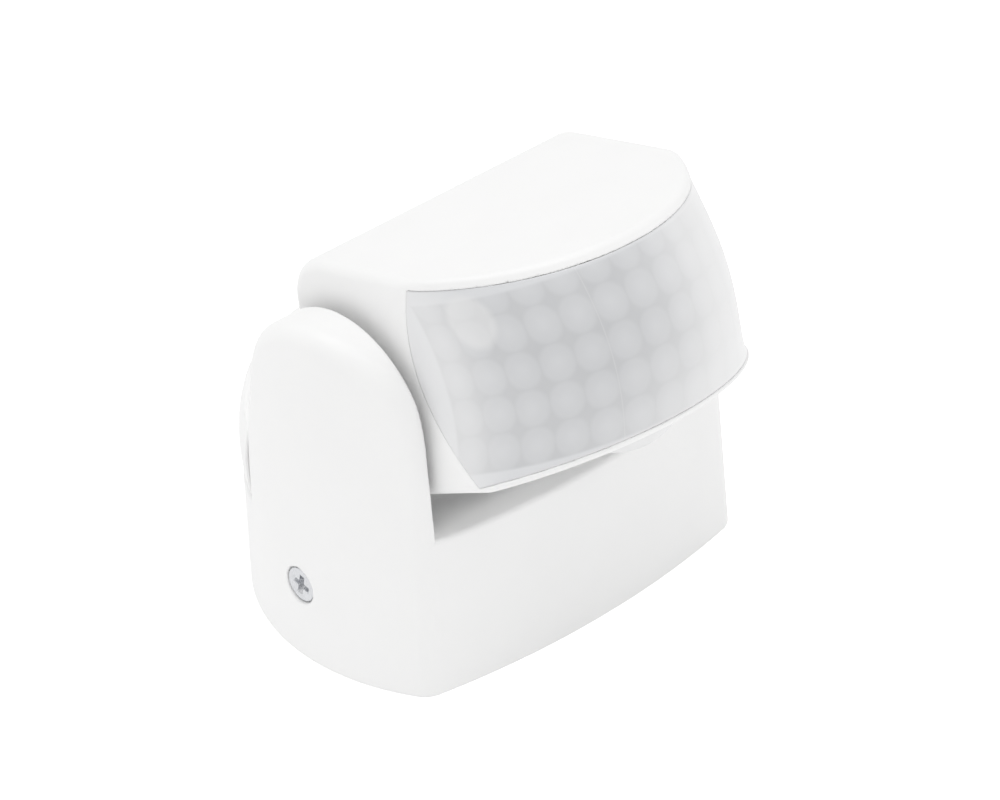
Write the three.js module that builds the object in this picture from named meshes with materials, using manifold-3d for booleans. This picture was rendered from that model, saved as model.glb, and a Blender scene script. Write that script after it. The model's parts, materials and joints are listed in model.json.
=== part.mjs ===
// Tilting passive-infrared motion sensor for a wall or a ceiling, in millimetres.
// +Z points away from the mounting surface, -Y is the way the lens looks, and the origin is the
// centre of the round base on the mounting surface. The head is drawn level in its own frame,
// whose origin is on the tilt axis, and is then tilted up to the angle it is shown at.
import * as THREE from "three";
import { mergeVertices } from "three/addons/utils/BufferGeometryUtils.js";
import Module from "manifold-3d";

const wasm = await Module();
wasm.setup();

// ---- Driving dimensions of the base ----
const BASE_RADIUS = 38;
const DRAFT = 0.029; // every upright wall leans in by this much per millimetre of height
const FRONT_REACH = 24.2; // from the origin to the middle of the bowed front wall
const FRONT_RADIUS = 149;
const CORNER_RADIUS = 1.2;
const RIM_HEIGHT = 27.15;
const RIM_ROUND = 0.7;
const WALL = 2.4;
const GAP = 0.3; // clearance left between neighbouring pieces
const FAR = 80; // past the outside of everything, for the ends of cutting tools

// ---- Ears, tilt axis and trough ----
const PIVOT_Y = -2.8;
const PIVOT_Z = 41.4;
const EAR_RADIUS = 17.7;
const CHEEK_X = 28.4; // inner face of each ear
const CHEEK_WALL = 2.2;
const CHEEK_REACH = 34; // inside the ears but short of their outside faces
const EAR_FOOT_Y = 16.3; // rear edge of an ear where it meets the rear wall
const TROUGH_RADIUS = 17.5;
const REAR_WALL_HEIGHT = 19.6;
const RAMP_FOOT_Z = 30; // height at which the ramp leaves the trough
const RAMP_TOP = [25.5, 34.6]; // rear end of the ramp, as y and z
const COVER_RADIUS = 37.97; // fullest radius of the rear cover
const COVER_FULL_Z = 26;
const COVER_SHOULDER_Z = 32.7;
const COVER_TOP = 35;
const COVER_LEAN_LOW = 1.2; // how far the barrel draws in below and above its fullest height
const COVER_LEAN_HIGH = 1.9;
const COVER_TAB = { halfWidth: 4, y: [32.4, 34.3], foot: 10, footReach: 36.5 };
const LEAD_PASSAGE = { halfWidth: 9, y: [20, 28] }; // opening into the room under the cover

// ---- Head, in its own frame ----
const HEAD_TILT = 20;
const HEAD_HALF_WIDTH = 27;
const HEAD_DRAFT = 0.02;
const HEAD_BACK = 8.9;
const HEAD_BACK_ROUND = 9.2;
const HEAD_CORNER = 2;
const HEAD_WALL = 2.2;
const TOP_AT_AXIS = 24.05;
const TOP_SLOPE = 0.098;
const UNDERSIDE_AT_AXIS = -14;
const UNDERSIDE_SLOPE = 0.11;
const BROW = 1.6; // thickness of the top plate over the lens
const LIP = 1.1; // thickness of the lip under the lens
const LENS_TOP = 20.3;
const LENS_BOTTOM = -10.2;
const LENS_FRONT_TOP = -40.3;
const LENS_FRONT_BOTTOM = -40.4;
const LENS_BULGE = 3.7; // extra reach at mid height
const LENS_SIDE_TOP = -20.2;
const LENS_SIDE_BOTTOM = -24.5;
const LENS_SIDE_WRAP = 5.3; // how far the lens edge runs back at mid height
const LENS_THICKNESS = 1;
const LENS_SET_BACK = 0.1;
const FRAME_WIDTH = 2.5;
const FRAME_THICKNESS = 1.4;

// ---- Pivot parts ----
const TRUNNION_RADIUS = 3.5;
const TRUNNION_BORE = 2.1;
const TRUNNION_FLANGE = 4.4;
const TRUNNION_END = 32.4;

const FRICTION_RING = { inner: 4.1, outer: 6.6, from: 27.45, to: 28.15 };
const CLIP = { inner: 3.3, outer: 5.8, from: 30.95, to: 31.65, mouth: 2 };
const CLIP_GROOVE = 3;

// ---- Mounting side ----
const PLATE = 2.4; // thickness of the mounting plate
const PLATE_GAP = 0.4;
const LUG = { inside: 31.6, outside: 34.2, halfWidth: 4, top: 17 };
const CABLE_HOLE = { x: 0, y: 9, radius: 6.7, bore: 3.2 };
const FIXING_SPACING = 46;
const FIXING_SLOT = { radius: 2, travel: 3.5 };
const GASKET = { inset: 4.4, width: 2, thickness: 1 };

// ---- Screws ----
const SIDE_SCREW = { y: 1.5, z: 13, head: 2.85, shank: 1.3, hole: 1.9, length: 7, sink: 0.35 };
const CROSS = { reach: 1.7, half: 0.45, depth: 1.2 }; // recess for the screwdriver
const COVER_SCREW = { y: 37.65, z: 23.5, seat: 36.3, head: 2.3, shank: 1.1, length: 6 };
const BOARD_SCREW = { x: 18, head: 2.3, shank: 1 };
const HEAD_SCREW = { x: 22, ys: [-17, -4], head: 2.2, shank: 1.1, boss: 3.4, length: 6 };

// ---- Power electronics under the trough ----
const BOARD = 1.6; // thickness of every circuit board
const POWER_BOARD = { halfWidth: 22, y: [-17, 13.5], bottom: 17.3 };
const TERMINALS = { pitch: 8, count: 4, y: [2.5, 12.5], bottom: 6.6, screw: 1.9 };

// ---- Sensor electronics in the head ----
const SENSOR_BOARD = { halfWidth: 17, front: -10.6, z: [-4.6, 17] };
const SENSOR_Z = 5;
const CAN_RADIUS = 4.1;
const CAN_LENGTH = 4;

// ---- Setting dials and look-down lens on the underside of the head ----
const DIAL_SPACING = 13;
const DIAL_Y = -6;
const DIAL_RADIUS = 3.6;
const DIAL_FACE = 0.35; // how far the dials sit inside the underside
const DOME_Y = -27.6;
const DOME_RADIUS = 8.6;
const DOME_DEPTH = 4.2;
const DOME_SKIN = 1;
const PANEL = { outside: 0.2, inside: 2, rear: -0.5 }; // faces as depths inside the underside

// ---- How finely curves are cut into flats ----
const BACK_STEPS = 24;
const FRONT_STEPS = 8;
const FILLET_STEPS = 2;
const LENS_STEPS = 14;
const HEAD_RINGS = 7;
const EAR_STEPS = 14;
const TROUGH_STEPS = 8;
const COVER_STEPS = 40;
const HEAD_SIDE_STEPS = 5;
const WINDOW_STEPS = 7;

// ---- Finishes ----
const finish = (color, roughness, metalness) => ({ color, roughness, metalness });
const WHITE_SHELL = finish(0xf4f4f2, 0.45, 0);
const LENS_MILKY = finish(0xdfe2e4, 0.35, 0);
const STEEL = finish(0xb9bcc0, 0.3, 1);
const RUBBER = finish(0x2c2d30, 0.85, 0);
const SILICONE = finish(0xd8d8d4, 0.7, 0);
const NYLON = finish(0xe6e4dc, 0.5, 0);
const BLACK_PLASTIC = finish(0x1c1d20, 0.5, 0);
const BLUE_PLASTIC = finish(0x2f5fa8, 0.45, 0);
const GREY_PLASTIC = finish(0x8f9398, 0.5, 0);
const CIRCUIT = finish(0x1f6b3a, 0.55, 0);
const TIN = finish(0xc9cacc, 0.35, 1);
const DARK_GLASS = finish(0x22171b, 0.15, 0);
const RED_LED = finish(0xc22a22, 0.25, 0);
const WIRE = finish(0xa33a2e, 0.6, 0);

// ---- Geometry helpers ----
const mirrored = (make) => [-1, 1].map(make);

function solid(geometry) {
  const bare = geometry.clone();
  bare.deleteAttribute("normal");
  bare.deleteAttribute("uv");
  const merged = mergeVertices(bare, 1e-4);
  return new wasm.Manifold(
    new wasm.Mesh({
      numProp: 3,
      vertProperties: merged.attributes.position.array,
      triVerts: new Uint32Array(merged.index.array),
    }),
  );
}

function geometryOf(shape) {
  const mesh = shape.getMesh();
  const geometry = new THREE.BufferGeometry();
  geometry.setAttribute("position", new THREE.BufferAttribute(mesh.vertProperties, 3));
  geometry.setIndex(new THREE.BufferAttribute(mesh.triVerts, 1));
  geometry.computeVertexNormals();
  return geometry;
}

const join = (...shapes) => shapes.reduce((all, shape) => all.add(shape));
const cut = (body, ...tools) => tools.reduce((left, tool) => left.subtract(tool), body);

function box([x0, x1], [y0, y1], [z0, z1]) {
  const geometry = new THREE.BoxGeometry(x1 - x0, y1 - y0, z1 - z0);
  return solid(geometry.translate((x0 + x1) / 2, (y0 + y1) / 2, (z0 + z1) / 2));
}

// A round bar from point a to point b, tapering from radius ra to rb.
function bar(a, b, ra, rb = ra, segments = 18) {
  const start = new THREE.Vector3(...a);
  const end = new THREE.Vector3(...b);
  const along = end.clone().sub(start);
  const geometry = new THREE.CylinderGeometry(rb, ra, along.length(), segments);
  const turn = new THREE.Quaternion().setFromUnitVectors(
    new THREE.Vector3(0, 1, 0),
    along.clone().normalize(),
  );
  geometry.applyQuaternion(turn);
  const middle = start.add(end).multiplyScalar(0.5);
  return solid(geometry.translate(middle.x, middle.y, middle.z));
}

// A prism along X whose side outline is a list of [y, z] points.
function prismX(outline, x0, x1) {
  const shape = new THREE.Shape(outline.map(([y, z]) => new THREE.Vector2(y, z)));
  const geometry = new THREE.ExtrudeGeometry(shape, { depth: x1 - x0, bevelEnabled: false });
  const axes = new THREE.Matrix4().makeBasis(
    new THREE.Vector3(0, 1, 0),
    new THREE.Vector3(0, 0, 1),
    new THREE.Vector3(1, 0, 0),
  );
  return solid(geometry.applyMatrix4(axes).translate(x0, 0, 0));
}

// A prism along Z whose plan outline is a list of [x, y] points.
function prismZ(outline, z0, z1) {
  const shape = new THREE.Shape(outline.map(([x, y]) => new THREE.Vector2(x, y)));
  const geometry = new THREE.ExtrudeGeometry(shape, { depth: z1 - z0, bevelEnabled: false });
  return solid(geometry.translate(0, 0, z0));
}

// Points on an arc, from one angle to another in radians, both ends included.
function arc(cx, cy, radius, from, to, steps) {
  return Array.from({ length: steps + 1 }, (_, i) => {
    const angle = from + ((to - from) * i) / steps;
    return [cx + radius * Math.cos(angle), cy + radius * Math.sin(angle)];
  });
}

// A closed solid through a stack of convex rings; each ring is { z, points: [[x, y], ...] }.
function loft(rings) {
  const count = rings[0].points.length;
  const vertices = rings.flatMap(({ z, points }) => points.flatMap(([x, y]) => [x, y, z]));
  const faces = [];
  for (let i = 1; i < count - 1; i++) {
    const top = (rings.length - 1) * count;
    faces.push(0, i + 1, i, top, top + i, top + i + 1);
  }
  for (let ring = 0; ring < rings.length - 1; ring++) {
    for (let i = 0; i < count; i++) {
      const a = ring * count + i;
      const b = ring * count + ((i + 1) % count);
      faces.push(a, b, b + count, a, b + count, a + count);
    }
  }
  const geometry = new THREE.BufferGeometry();
  geometry.setAttribute("position", new THREE.Float32BufferAttribute(vertices, 3));
  geometry.setIndex(faces);
  return solid(geometry);
}

// A solid of revolution about +Z from a profile of [radius, z] points that starts and ends
// on the axis or closes on itself.
function turned(profile, segments = 18) {
  const points = profile.map(([r, z]) => new THREE.Vector2(r, z));
  const geometry = new THREE.LatheGeometry(points, segments);
  geometry.rotateX(Math.PI / 2); // the lathe turns about +Y
  return solid(geometry);
}

function ringProfile(inner, outer, z0, z1) {
  return [[inner, z0], [outer, z0], [outer, z1], [inner, z1], [inner, z0]];
}

const mesh = (name, shape, look) => {
  const geometry = shape.isBufferGeometry ? shape : geometryOf(shape);
  const made = new THREE.Mesh(geometry, new THREE.MeshStandardMaterial(look));
  made.name = name;
  return made;
};

// ---- Base outline ----
// The plan of the base: a circle whose front is cut off by a shallow bow, with rounded corners.
// The circle moves back as the walls lean in, so that the rear of the base stays upright.
function baseOutline(inset, lean = 0) {
  const radius = BASE_RADIUS - inset - lean;
  const bow = FRONT_RADIUS - inset - lean;
  const bowCentre = FRONT_RADIUS - FRONT_REACH;
  const toCorner = radius - CORNER_RADIUS;
  const bowToCorner = bow - CORNER_RADIUS;
  const apart = bowCentre - lean;
  const cornerY = (toCorner ** 2 - bowToCorner ** 2 + bowCentre ** 2 - lean ** 2) / (2 * apart);
  const cornerX = Math.sqrt(toCorner ** 2 - (cornerY - lean) ** 2);
  const onCircle = Math.atan2(cornerY - lean, cornerX);
  const onBow = Math.atan2(cornerY - bowCentre, cornerX);
  return [
    ...arc(0, lean, radius, onCircle, Math.PI - onCircle, BACK_STEPS).slice(0, -1),
    ...arc(-cornerX, cornerY, CORNER_RADIUS, Math.PI - onCircle, Math.PI - onBow, FILLET_STEPS),
    ...arc(0, bowCentre, bow, -Math.PI - onBow, onBow, FRONT_STEPS).slice(1, -1),
    ...arc(cornerX, cornerY, CORNER_RADIUS, onBow, onCircle, FILLET_STEPS).slice(0, -1),
  ];
}

const baseRing = (z, inset = 0) => ({ z, points: baseOutline(inset, DRAFT * z) });
const baseColumn = (from, inset = 0) => loft([baseRing(from, inset), baseRing(FAR, inset)]);

// The side outline of the ears above the rim, set in by a margin.
function archOutline(margin, top = RIM_HEIGHT) {
  const radius = EAR_RADIUS - margin;
  return [
    [EAR_FOOT_Y - margin, top],
    ...arc(PIVOT_Y, PIVOT_Z, radius, 0, Math.PI, EAR_STEPS),
    [PIVOT_Y - radius - 1, PIVOT_Z - 1],
    [PIVOT_Y - radius - 1, top],
  ];
}

// Everything above the deck, the trough and the rear ramp, lowered by a margin.
function wellOutline(margin) {
  const radius = TROUGH_RADIUS + margin;
  const rim = RIM_HEIGHT - margin;
  const start = -Math.PI + Math.asin((PIVOT_Z - rim) / radius);
  const end = -Math.asin((PIVOT_Z - RAMP_FOOT_Z + margin) / radius);
  return [
    [-FAR, FAR],
    [-FAR, rim],
    ...arc(PIVOT_Y, PIVOT_Z, radius, start, end, TROUGH_STEPS),
    [RAMP_TOP[0], RAMP_TOP[1] - margin],
    [FAR, RAMP_TOP[1] - margin],
    [FAR, FAR],
  ];
}

const well = (margin) => {
  const half = CHEEK_X + margin;
  return prismX(wellOutline(margin), -half, half);
};

// ---- Base parts ----
function baseHousing() {
  const roundedTop = [0.5, 1].map((part) => {
    const angle = (part * Math.PI) / 2;
    const z = RIM_HEIGHT - RIM_ROUND * (1 - Math.sin(angle));
    return baseRing(z, RIM_ROUND * (1 - Math.cos(angle)));
  });
  const lower = loft([baseRing(0), baseRing(RIM_HEIGHT - RIM_ROUND), ...roundedTop]);
  const ears = baseColumn(REAR_WALL_HEIGHT - WALL)
    .intersect(prismX(archOutline(0, REAR_WALL_HEIGHT - WALL), -FAR, FAR))
    .subtract(box([-CHEEK_X, CHEEK_X], [-FAR, FAR], [0, FAR]));
  const outside = cut(
    join(lower, ears),
    well(0),
    box([-FAR, FAR], [EAR_FOOT_Y, FAR], [REAR_WALL_HEIGHT, FAR]),
  );
  const shell = cut(outside, baseHollow());
  const fitted = join(shell, coverTab(), ...mirrored(boardBoss));
  return mesh(
    "base_housing",
    cut(
      fitted,
      bar([-CHEEK_REACH, PIVOT_Y, PIVOT_Z], [CHEEK_REACH, PIVOT_Y, PIVOT_Z], TRUNNION_RADIUS + GAP),
      leadPassage(),
      coverScrewBar(COVER_TAB.y[0] - 1, COVER_TAB.footReach, COVER_SCREW.shank + GAP),
      ...mirrored(sideScrewHole),
      ...mirrored(boardScrewHole),
    ),
    WHITE_SHELL,
  );
}

// The room inside the housing: open below, closed by the trough, the ears and the rear deck.
function baseHollow() {
  return baseColumn(-1, WALL)
    .intersect(join(
      prismX(archOutline(WALL, 0), -FAR, FAR),
      box([-FAR, FAR], [-FAR, EAR_FOOT_Y - WALL], [-FAR, RIM_HEIGHT - WALL]),
      box([-FAR, FAR], [0, FAR], [-FAR, REAR_WALL_HEIGHT - WALL]),
    ))
    .subtract(well(CHEEK_WALL));
}

// The upright tab that the rear cover's screw bites into.
function coverTab() {
  const { halfWidth, y, foot, footReach } = COVER_TAB;
  const across = [-halfWidth, halfWidth];
  return join(
    box(across, y, [REAR_WALL_HEIGHT - WALL, COVER_SCREW.z + halfWidth]),
    box(across, [y[0], footReach], [foot, REAR_WALL_HEIGHT - GAP]),
  );
}

function leadPassage() {
  const { halfWidth, y } = LEAD_PASSAGE;
  return box([-halfWidth, halfWidth], y, [REAR_WALL_HEIGHT - 2 * WALL, REAR_WALL_HEIGHT + WALL]);
}

const coverScrewBar = (from, to, radius) =>
  bar([0, from, COVER_SCREW.z], [0, to, COVER_SCREW.z], radius, undefined, 12);

function boardScrewHole(side) {
  const x = side * BOARD_SCREW.x;
  const foot = POWER_BOARD.bottom + BOARD;
  const radius = BOARD_SCREW.shank + 0.15;
  return bar([x, PIVOT_Y, foot - 1], [x, PIVOT_Y, foot + 3.7], radius, radius, 12);
}

function boardBoss(side) {
  const top = PIVOT_Z - TROUGH_RADIUS - 1;
  const foot = POWER_BOARD.bottom + BOARD + GAP;
  const x = side * BOARD_SCREW.x;
  return bar([x, PIVOT_Y, foot], [x, PIVOT_Y, top], 2.4, undefined, 16);
}

const sideFace = BASE_RADIUS - DRAFT * SIDE_SCREW.z - SIDE_SCREW.sink;

function sideScrewHole(side) {
  const at = (x) => [side * x, SIDE_SCREW.y, SIDE_SCREW.z];
  const head = SIDE_SCREW.head + GAP;
  return join(
    bar(at(30), at(36.5), SIDE_SCREW.hole),
    bar(at(sideFace - 1.9), at(sideFace), SIDE_SCREW.hole - 0.1, head),
    bar(at(sideFace - 0.05), at(40), head),
  );
}

function sideScrew(side) {
  const at = (x) => [side * x, SIDE_SCREW.y, SIDE_SCREW.z];
  const { head, shank, length } = SIDE_SCREW;
  const body = join(
    bar(at(sideFace - 0.4), at(sideFace), head),
    bar(at(sideFace - 1.9), at(sideFace - 0.4), shank, head),
    bar(at(sideFace - length), at(sideFace - 1.8), shank, undefined, 16),
  );
  const depth = [sideFace - CROSS.depth, sideFace + 1].map((x) => side * x).sort((a, b) => a - b);
  const blade = (acrossY, acrossZ) => box(
    depth,
    [SIDE_SCREW.y - acrossY, SIDE_SCREW.y + acrossY],
    [SIDE_SCREW.z - acrossZ, SIDE_SCREW.z + acrossZ],
  );
  const cross = join(blade(CROSS.reach, CROSS.half), blade(CROSS.half, CROSS.reach));
  return mesh(side < 0 ? "side_screw_left" : "side_screw_right", cut(body, cross), STEEL);
}

// The radius of the rear cover's barrel-shaped skin at a height.
function coverRadius(z) {
  const rise = (z - COVER_FULL_Z) / (COVER_TOP - COVER_FULL_Z);
  return COVER_RADIUS - (z < COVER_FULL_Z ? COVER_LEAN_LOW : COVER_LEAN_HIGH) * rise * rise;
}

function coverBody(inset, top) {
  const shoulder = COVER_SHOULDER_Z - inset;
  const circle = (radius) => arc(0, 0, radius, 0, 2 * Math.PI, COVER_STEPS).slice(0, -1);
  const middle = (COVER_FULL_Z + shoulder) / 2;
  const skin = [REAR_WALL_HEIGHT + GAP - inset, COVER_FULL_Z, middle, shoulder];
  return loft([
    ...skin.map((z) => ({ z, points: circle(coverRadius(z) - inset) })),
    { z: (shoulder + top) / 2 + 0.5, points: circle(coverRadius(shoulder) - 0.7 - inset) },
    { z: top, points: circle(coverRadius(shoulder) - 2.1 - inset) },
  ]);
}

function rearCover() {
  const front = EAR_FOOT_Y + GAP;
  const ramp = (margin) => prismX(wellOutline(margin), -FAR, FAR);
  const ahead = (y) => box([-FAR, FAR], [-FAR, y], [0, FAR]);
  const inside = cut(coverBody(WALL, COVER_TOP - WALL), ramp(CHEEK_WALL), ahead(front + WALL));
  const shape = cut(
    coverBody(0, COVER_TOP),
    ramp(0),
    ahead(front),
    inside,
    coverScrewBar(COVER_TAB.y[0], BASE_RADIUS + 1, COVER_SCREW.shank + GAP),
    coverScrewBar(COVER_SCREW.seat, BASE_RADIUS + 1, COVER_SCREW.head + GAP),
  );
  return mesh("rear_cover", shape, WHITE_SHELL);
}

// A pan-head screw about +Z, head underneath at z = 0 and shank upwards.
function panScrew(head, shank, length, headHeight = 1.1) {
  const cone = headHeight * 0.35;
  const body = turned([
    [0, 0], [head * 0.8, 0], [head, cone], [head, headHeight],
    [shank, headHeight], [shank, length - shank], [0, length],
  ], 12);
  const slot = [-0.4, 0.4];
  const reach = [-head * 0.6, head * 0.6];
  const deep = [-1, headHeight * 0.65];
  return cut(body, box(slot, reach, deep), box(reach, slot, deep));
}

function place(made, [x, y, z], turn = 0) {
  made.position.set(x, y, z);
  made.rotation.x = turn;
  return made;
}

function rearCoverScrew() {
  const { head, shank, length, y, z } = COVER_SCREW;
  const screw = mesh("rear_cover_screw", panScrew(head, shank, length, 1), STEEL);
  return place(screw, [0, y, z], Math.PI / 2);
}

function boardScrew(side) {
  const name = side < 0 ? "board_screw_left" : "board_screw_right";
  const screw = mesh(name, panScrew(BOARD_SCREW.head, BOARD_SCREW.shank, 5, 1.1), STEEL);
  return place(screw, [side * BOARD_SCREW.x, PIVOT_Y, POWER_BOARD.bottom - 1.1 - GAP]);
}

function mountingPlate() {
  const plate = prismZ(baseOutline(WALL + PLATE_GAP), 0, PLATE);
  const lug = (side) => {
    const span = [side * LUG.inside, side * LUG.outside].sort((a, b) => a - b);
    const width = [SIDE_SCREW.y - LUG.halfWidth, SIDE_SCREW.y + LUG.halfWidth];
    const hole = bar(
      [side * 30, SIDE_SCREW.y, SIDE_SCREW.z],
      [side * 36, SIDE_SCREW.y, SIDE_SCREW.z],
      SIDE_SCREW.shank + 0.2,
      undefined,
      16,
    );
    return cut(box(span, width, [PLATE / 2, LUG.top]), hole);
  };
  const slot = (side) => {
    const { radius, travel } = FIXING_SLOT;
    const x = (side * FIXING_SPACING) / 2;
    const end = (at) => bar([x + at * travel, 0, -1], [x + at * travel, 0, PLATE + 1], radius, radius, 16);
    return join(
      box([x - travel, x + travel], [-radius, radius], [-1, PLATE + 1]),
      ...mirrored(end),
    );
  };
  const { inset, width, thickness } = GASKET;
  const groove = cut(
    prismZ(baseOutline(inset - GAP), -1, thickness + GAP),
    prismZ(baseOutline(inset + width + GAP), -2, thickness + 1),
  );
  const { x, y, radius } = CABLE_HOLE;
  const shape = cut(
    join(plate, ...mirrored(lug)),
    groove,
    bar([x, y, -1], [x, y, PLATE + 1], radius),
    ...mirrored(slot),
  );
  return mesh("mounting_plate", shape, GREY_PLASTIC);
}

function wallGasket() {
  const { inset, width, thickness } = GASKET;
  const ring = cut(
    prismZ(baseOutline(inset), 0, thickness),
    prismZ(baseOutline(inset + width), -1, thickness + 1),
  );
  return mesh("wall_gasket", ring, RUBBER);
}

function cableGrommet() {
  const { radius, bore } = CABLE_HOLE;
  const neck = radius - GAP;
  const made = mesh("cable_grommet", turned([
    [bore, 0.4], [neck, 0.4], [neck, PLATE + GAP], [neck + 1.5, PLATE + GAP],
    [neck + 1.5, PLATE + 1.3], [bore + 1, PLATE + 2.6], [bore, PLATE + 2.6], [bore, 0.4],
  ]), RUBBER);
  return place(made, [CABLE_HOLE.x, CABLE_HOLE.y, 0]);
}

function powerBoard() {
  const { halfWidth, y, bottom } = POWER_BOARD;
  const hole = (side) => {
    const x = side * BOARD_SCREW.x;
    return bar([x, PIVOT_Y, bottom - 1], [x, PIVOT_Y, bottom + 3], BOARD_SCREW.shank + GAP, undefined, 12);
  };
  const board = box([-halfWidth, halfWidth], y, [bottom, bottom + BOARD]);
  return mesh("power_board", cut(board, ...mirrored(hole)), CIRCUIT);
}

const terminalX = (i) => (i - (TERMINALS.count - 1) / 2) * TERMINALS.pitch;
const terminalIndex = Array.from({ length: TERMINALS.count }, (_, i) => i);
const underBoard = POWER_BOARD.bottom - GAP;

function terminalBlock() {
  const { pitch, count, y, bottom, screw } = TERMINALS;
  const half = (pitch * count) / 2;
  const middle = (y[0] + y[1]) / 2;
  const openings = terminalIndex.map((i) => join(
    bar([terminalX(i), middle, bottom - 1], [terminalX(i), middle, bottom + 5], screw + GAP, undefined, 12),
    box([terminalX(i) - 2, terminalX(i) + 2], [middle + 1, y[1] + 1], [bottom + 5.2, bottom + 9]),
  ));
  const block = box([-half, half], y, [bottom, underBoard]);
  return mesh("terminal_block", cut(block, ...openings), NYLON);
}

function terminalScrew(i) {
  const { y, bottom, screw } = TERMINALS;
  const length = 3.4;
  const slot = box([-screw - 1, screw + 1], [-0.35, 0.35], [-1, 0.8]);
  const body = turned([[0, 0], [screw, 0], [screw, length], [0, length]], 12);
  const made = mesh(`terminal_screw_${i + 1}`, cut(body, slot), TIN);
  return place(made, [terminalX(i), (y[0] + y[1]) / 2, bottom + 0.8]);
}

function relay() {
  return mesh("relay", box([-20.5, -2], [-15.5, -5.5], [5, underBoard]), BLUE_PLASTIC);
}

function filmCapacitor() {
  return mesh("film_capacitor", box([2, 17], [-15.5, -9.5], [7, underBoard]), GREY_PLASTIC);
}

function smoothingCapacitor() {
  const x = 10;
  const y = -3.6;
  const can = join(
    bar([x, y, 6.4], [x, y, underBoard - 1.4], 4),
    bar([x, y, underBoard - 1.4], [x, y, underBoard - 0.8], 3.6),
    bar([x, y, underBoard - 0.8], [x, y, underBoard], 4),
  );
  return mesh("smoothing_capacitor", can, BLACK_PLASTIC);
}

function fuse() {
  const y = -1.6;
  const z = underBoard - 2.6;
  return mesh("fuse", join(
    bar([-15, y, z], [-11.5, y, z], 2.3, undefined, 16),
    bar([-11.5, y, z], [-4.5, y, z], 2, undefined, 16),
    bar([-4.5, y, z], [-1, y, z], 2.3, undefined, 16),
  ), TIN);
}

// A round cable along a smooth path through the given points.
function cable(points, radius) {
  const path = new THREE.CatmullRomCurve3(points.map((p) => new THREE.Vector3(...p)));
  const round = new THREE.Shape();
  round.absarc(0, 0, radius, 0, 2 * Math.PI);
  return solid(new THREE.ExtrudeGeometry(round, {
    steps: 12,
    curveSegments: 4,
    bevelEnabled: false,
    extrudePath: path,
  }));
}

function baseHarness() {
  const pocket = -33.2;
  const level = POWER_BOARD.bottom - 1.4;
  return mesh("base_harness", cable([
    [-21, PIVOT_Y, level],
    [-27, PIVOT_Y, level],
    [-32, PIVOT_Y, level + 3],
    [pocket, PIVOT_Y, level + 9],
    [pocket, PIVOT_Y, PIVOT_Z],
  ], 0.8), WIRE);
}

function frictionRing(side) {
  const { inner, outer, from, to } = FRICTION_RING;
  const at = (x) => [side * x, PIVOT_Y, PIVOT_Z];
  const ring = cut(bar(at(from), at(to), outer), bar(at(from - 1), at(to + 1), inner));
  return mesh(side < 0 ? "friction_ring_left" : "friction_ring_right", ring, SILICONE);
}

// ---- Head outlines, in the head's frame ----
const topAt = (y) => TOP_AT_AXIS + TOP_SLOPE * y;
const undersideAt = (y) => UNDERSIDE_AT_AXIS - UNDERSIDE_SLOPE * y;

// How far up the lens a height is; below the lens the plan stays as it is at its lower edge.
const lensPart = (z) => Math.max(z - LENS_BOTTOM, 0) / (LENS_TOP - LENS_BOTTOM);
const hump = (z) => 1 - (2 * lensPart(z) - 1) ** 2;

function lensFront(z) {
  const straight = THREE.MathUtils.lerp(LENS_FRONT_BOTTOM, LENS_FRONT_TOP, lensPart(z));
  return straight - LENS_BULGE * hump(z);
}

function lensSide(z) {
  const straight = THREE.MathUtils.lerp(LENS_SIDE_BOTTOM, LENS_SIDE_TOP, lensPart(z));
  return straight + LENS_SIDE_WRAP * hump(z);
}

// The plan of the head at a height: flat back, flat sides and a round front.
function headOutline(z, inset) {
  const fullHalf = HEAD_HALF_WIDTH - HEAD_DRAFT * z;
  const depth = lensSide(z) - lensFront(z);
  const fullRadius = (fullHalf ** 2 + depth ** 2) / (2 * depth);
  const centre = lensFront(z) + fullRadius;
  const half = fullHalf - inset;
  const radius = fullRadius - inset;
  const side = Math.acos(half / radius);
  const cornerX = half - HEAD_CORNER;
  const cornerY = HEAD_BACK - inset - HEAD_CORNER;
  return [
    ...arc(0, centre, radius, side - Math.PI, -side, LENS_STEPS),
    ...arc(cornerX, cornerY, HEAD_CORNER, 0, Math.PI / 2, FILLET_STEPS),
    ...arc(-cornerX, cornerY, HEAD_CORNER, Math.PI / 2, Math.PI, FILLET_STEPS),
  ];
}

function headBlock(inset) {
  const low = LENS_BOTTOM - 5;
  const high = LENS_TOP + 5;
  return loft(Array.from({ length: HEAD_RINGS + 1 }, (_, i) => {
    const z = low + ((high - low) * i) / HEAD_RINGS;
    return { z, points: headOutline(z, inset) };
  }));
}

// The side view of the head: sloping top and underside joined by a back with round corners.
function headSideOutline(margin) {
  const centreY = HEAD_BACK - HEAD_BACK_ROUND;
  const round = HEAD_BACK_ROUND - margin;
  const topLean = Math.atan(TOP_SLOPE);
  const undersideLean = Math.atan(UNDERSIDE_SLOPE);
  const topCentre = topAt(centreY) - HEAD_BACK_ROUND / Math.cos(topLean);
  const undersideCentre = undersideAt(centreY) + HEAD_BACK_ROUND / Math.cos(undersideLean);
  return [
    [-FAR, undersideAt(-FAR) + margin / Math.cos(undersideLean)],
    ...arc(centreY, undersideCentre, round, -Math.PI / 2 - undersideLean, 0, HEAD_SIDE_STEPS),
    ...arc(centreY, topCentre, round, 0, Math.PI / 2 + topLean, HEAD_SIDE_STEPS),
    [-FAR, topAt(-FAR) - margin / Math.cos(topLean)],
  ];
}

const headRoom = (inset) => headBlock(inset).intersect(prismX(headSideOutline(inset), -FAR, FAR));

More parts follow.
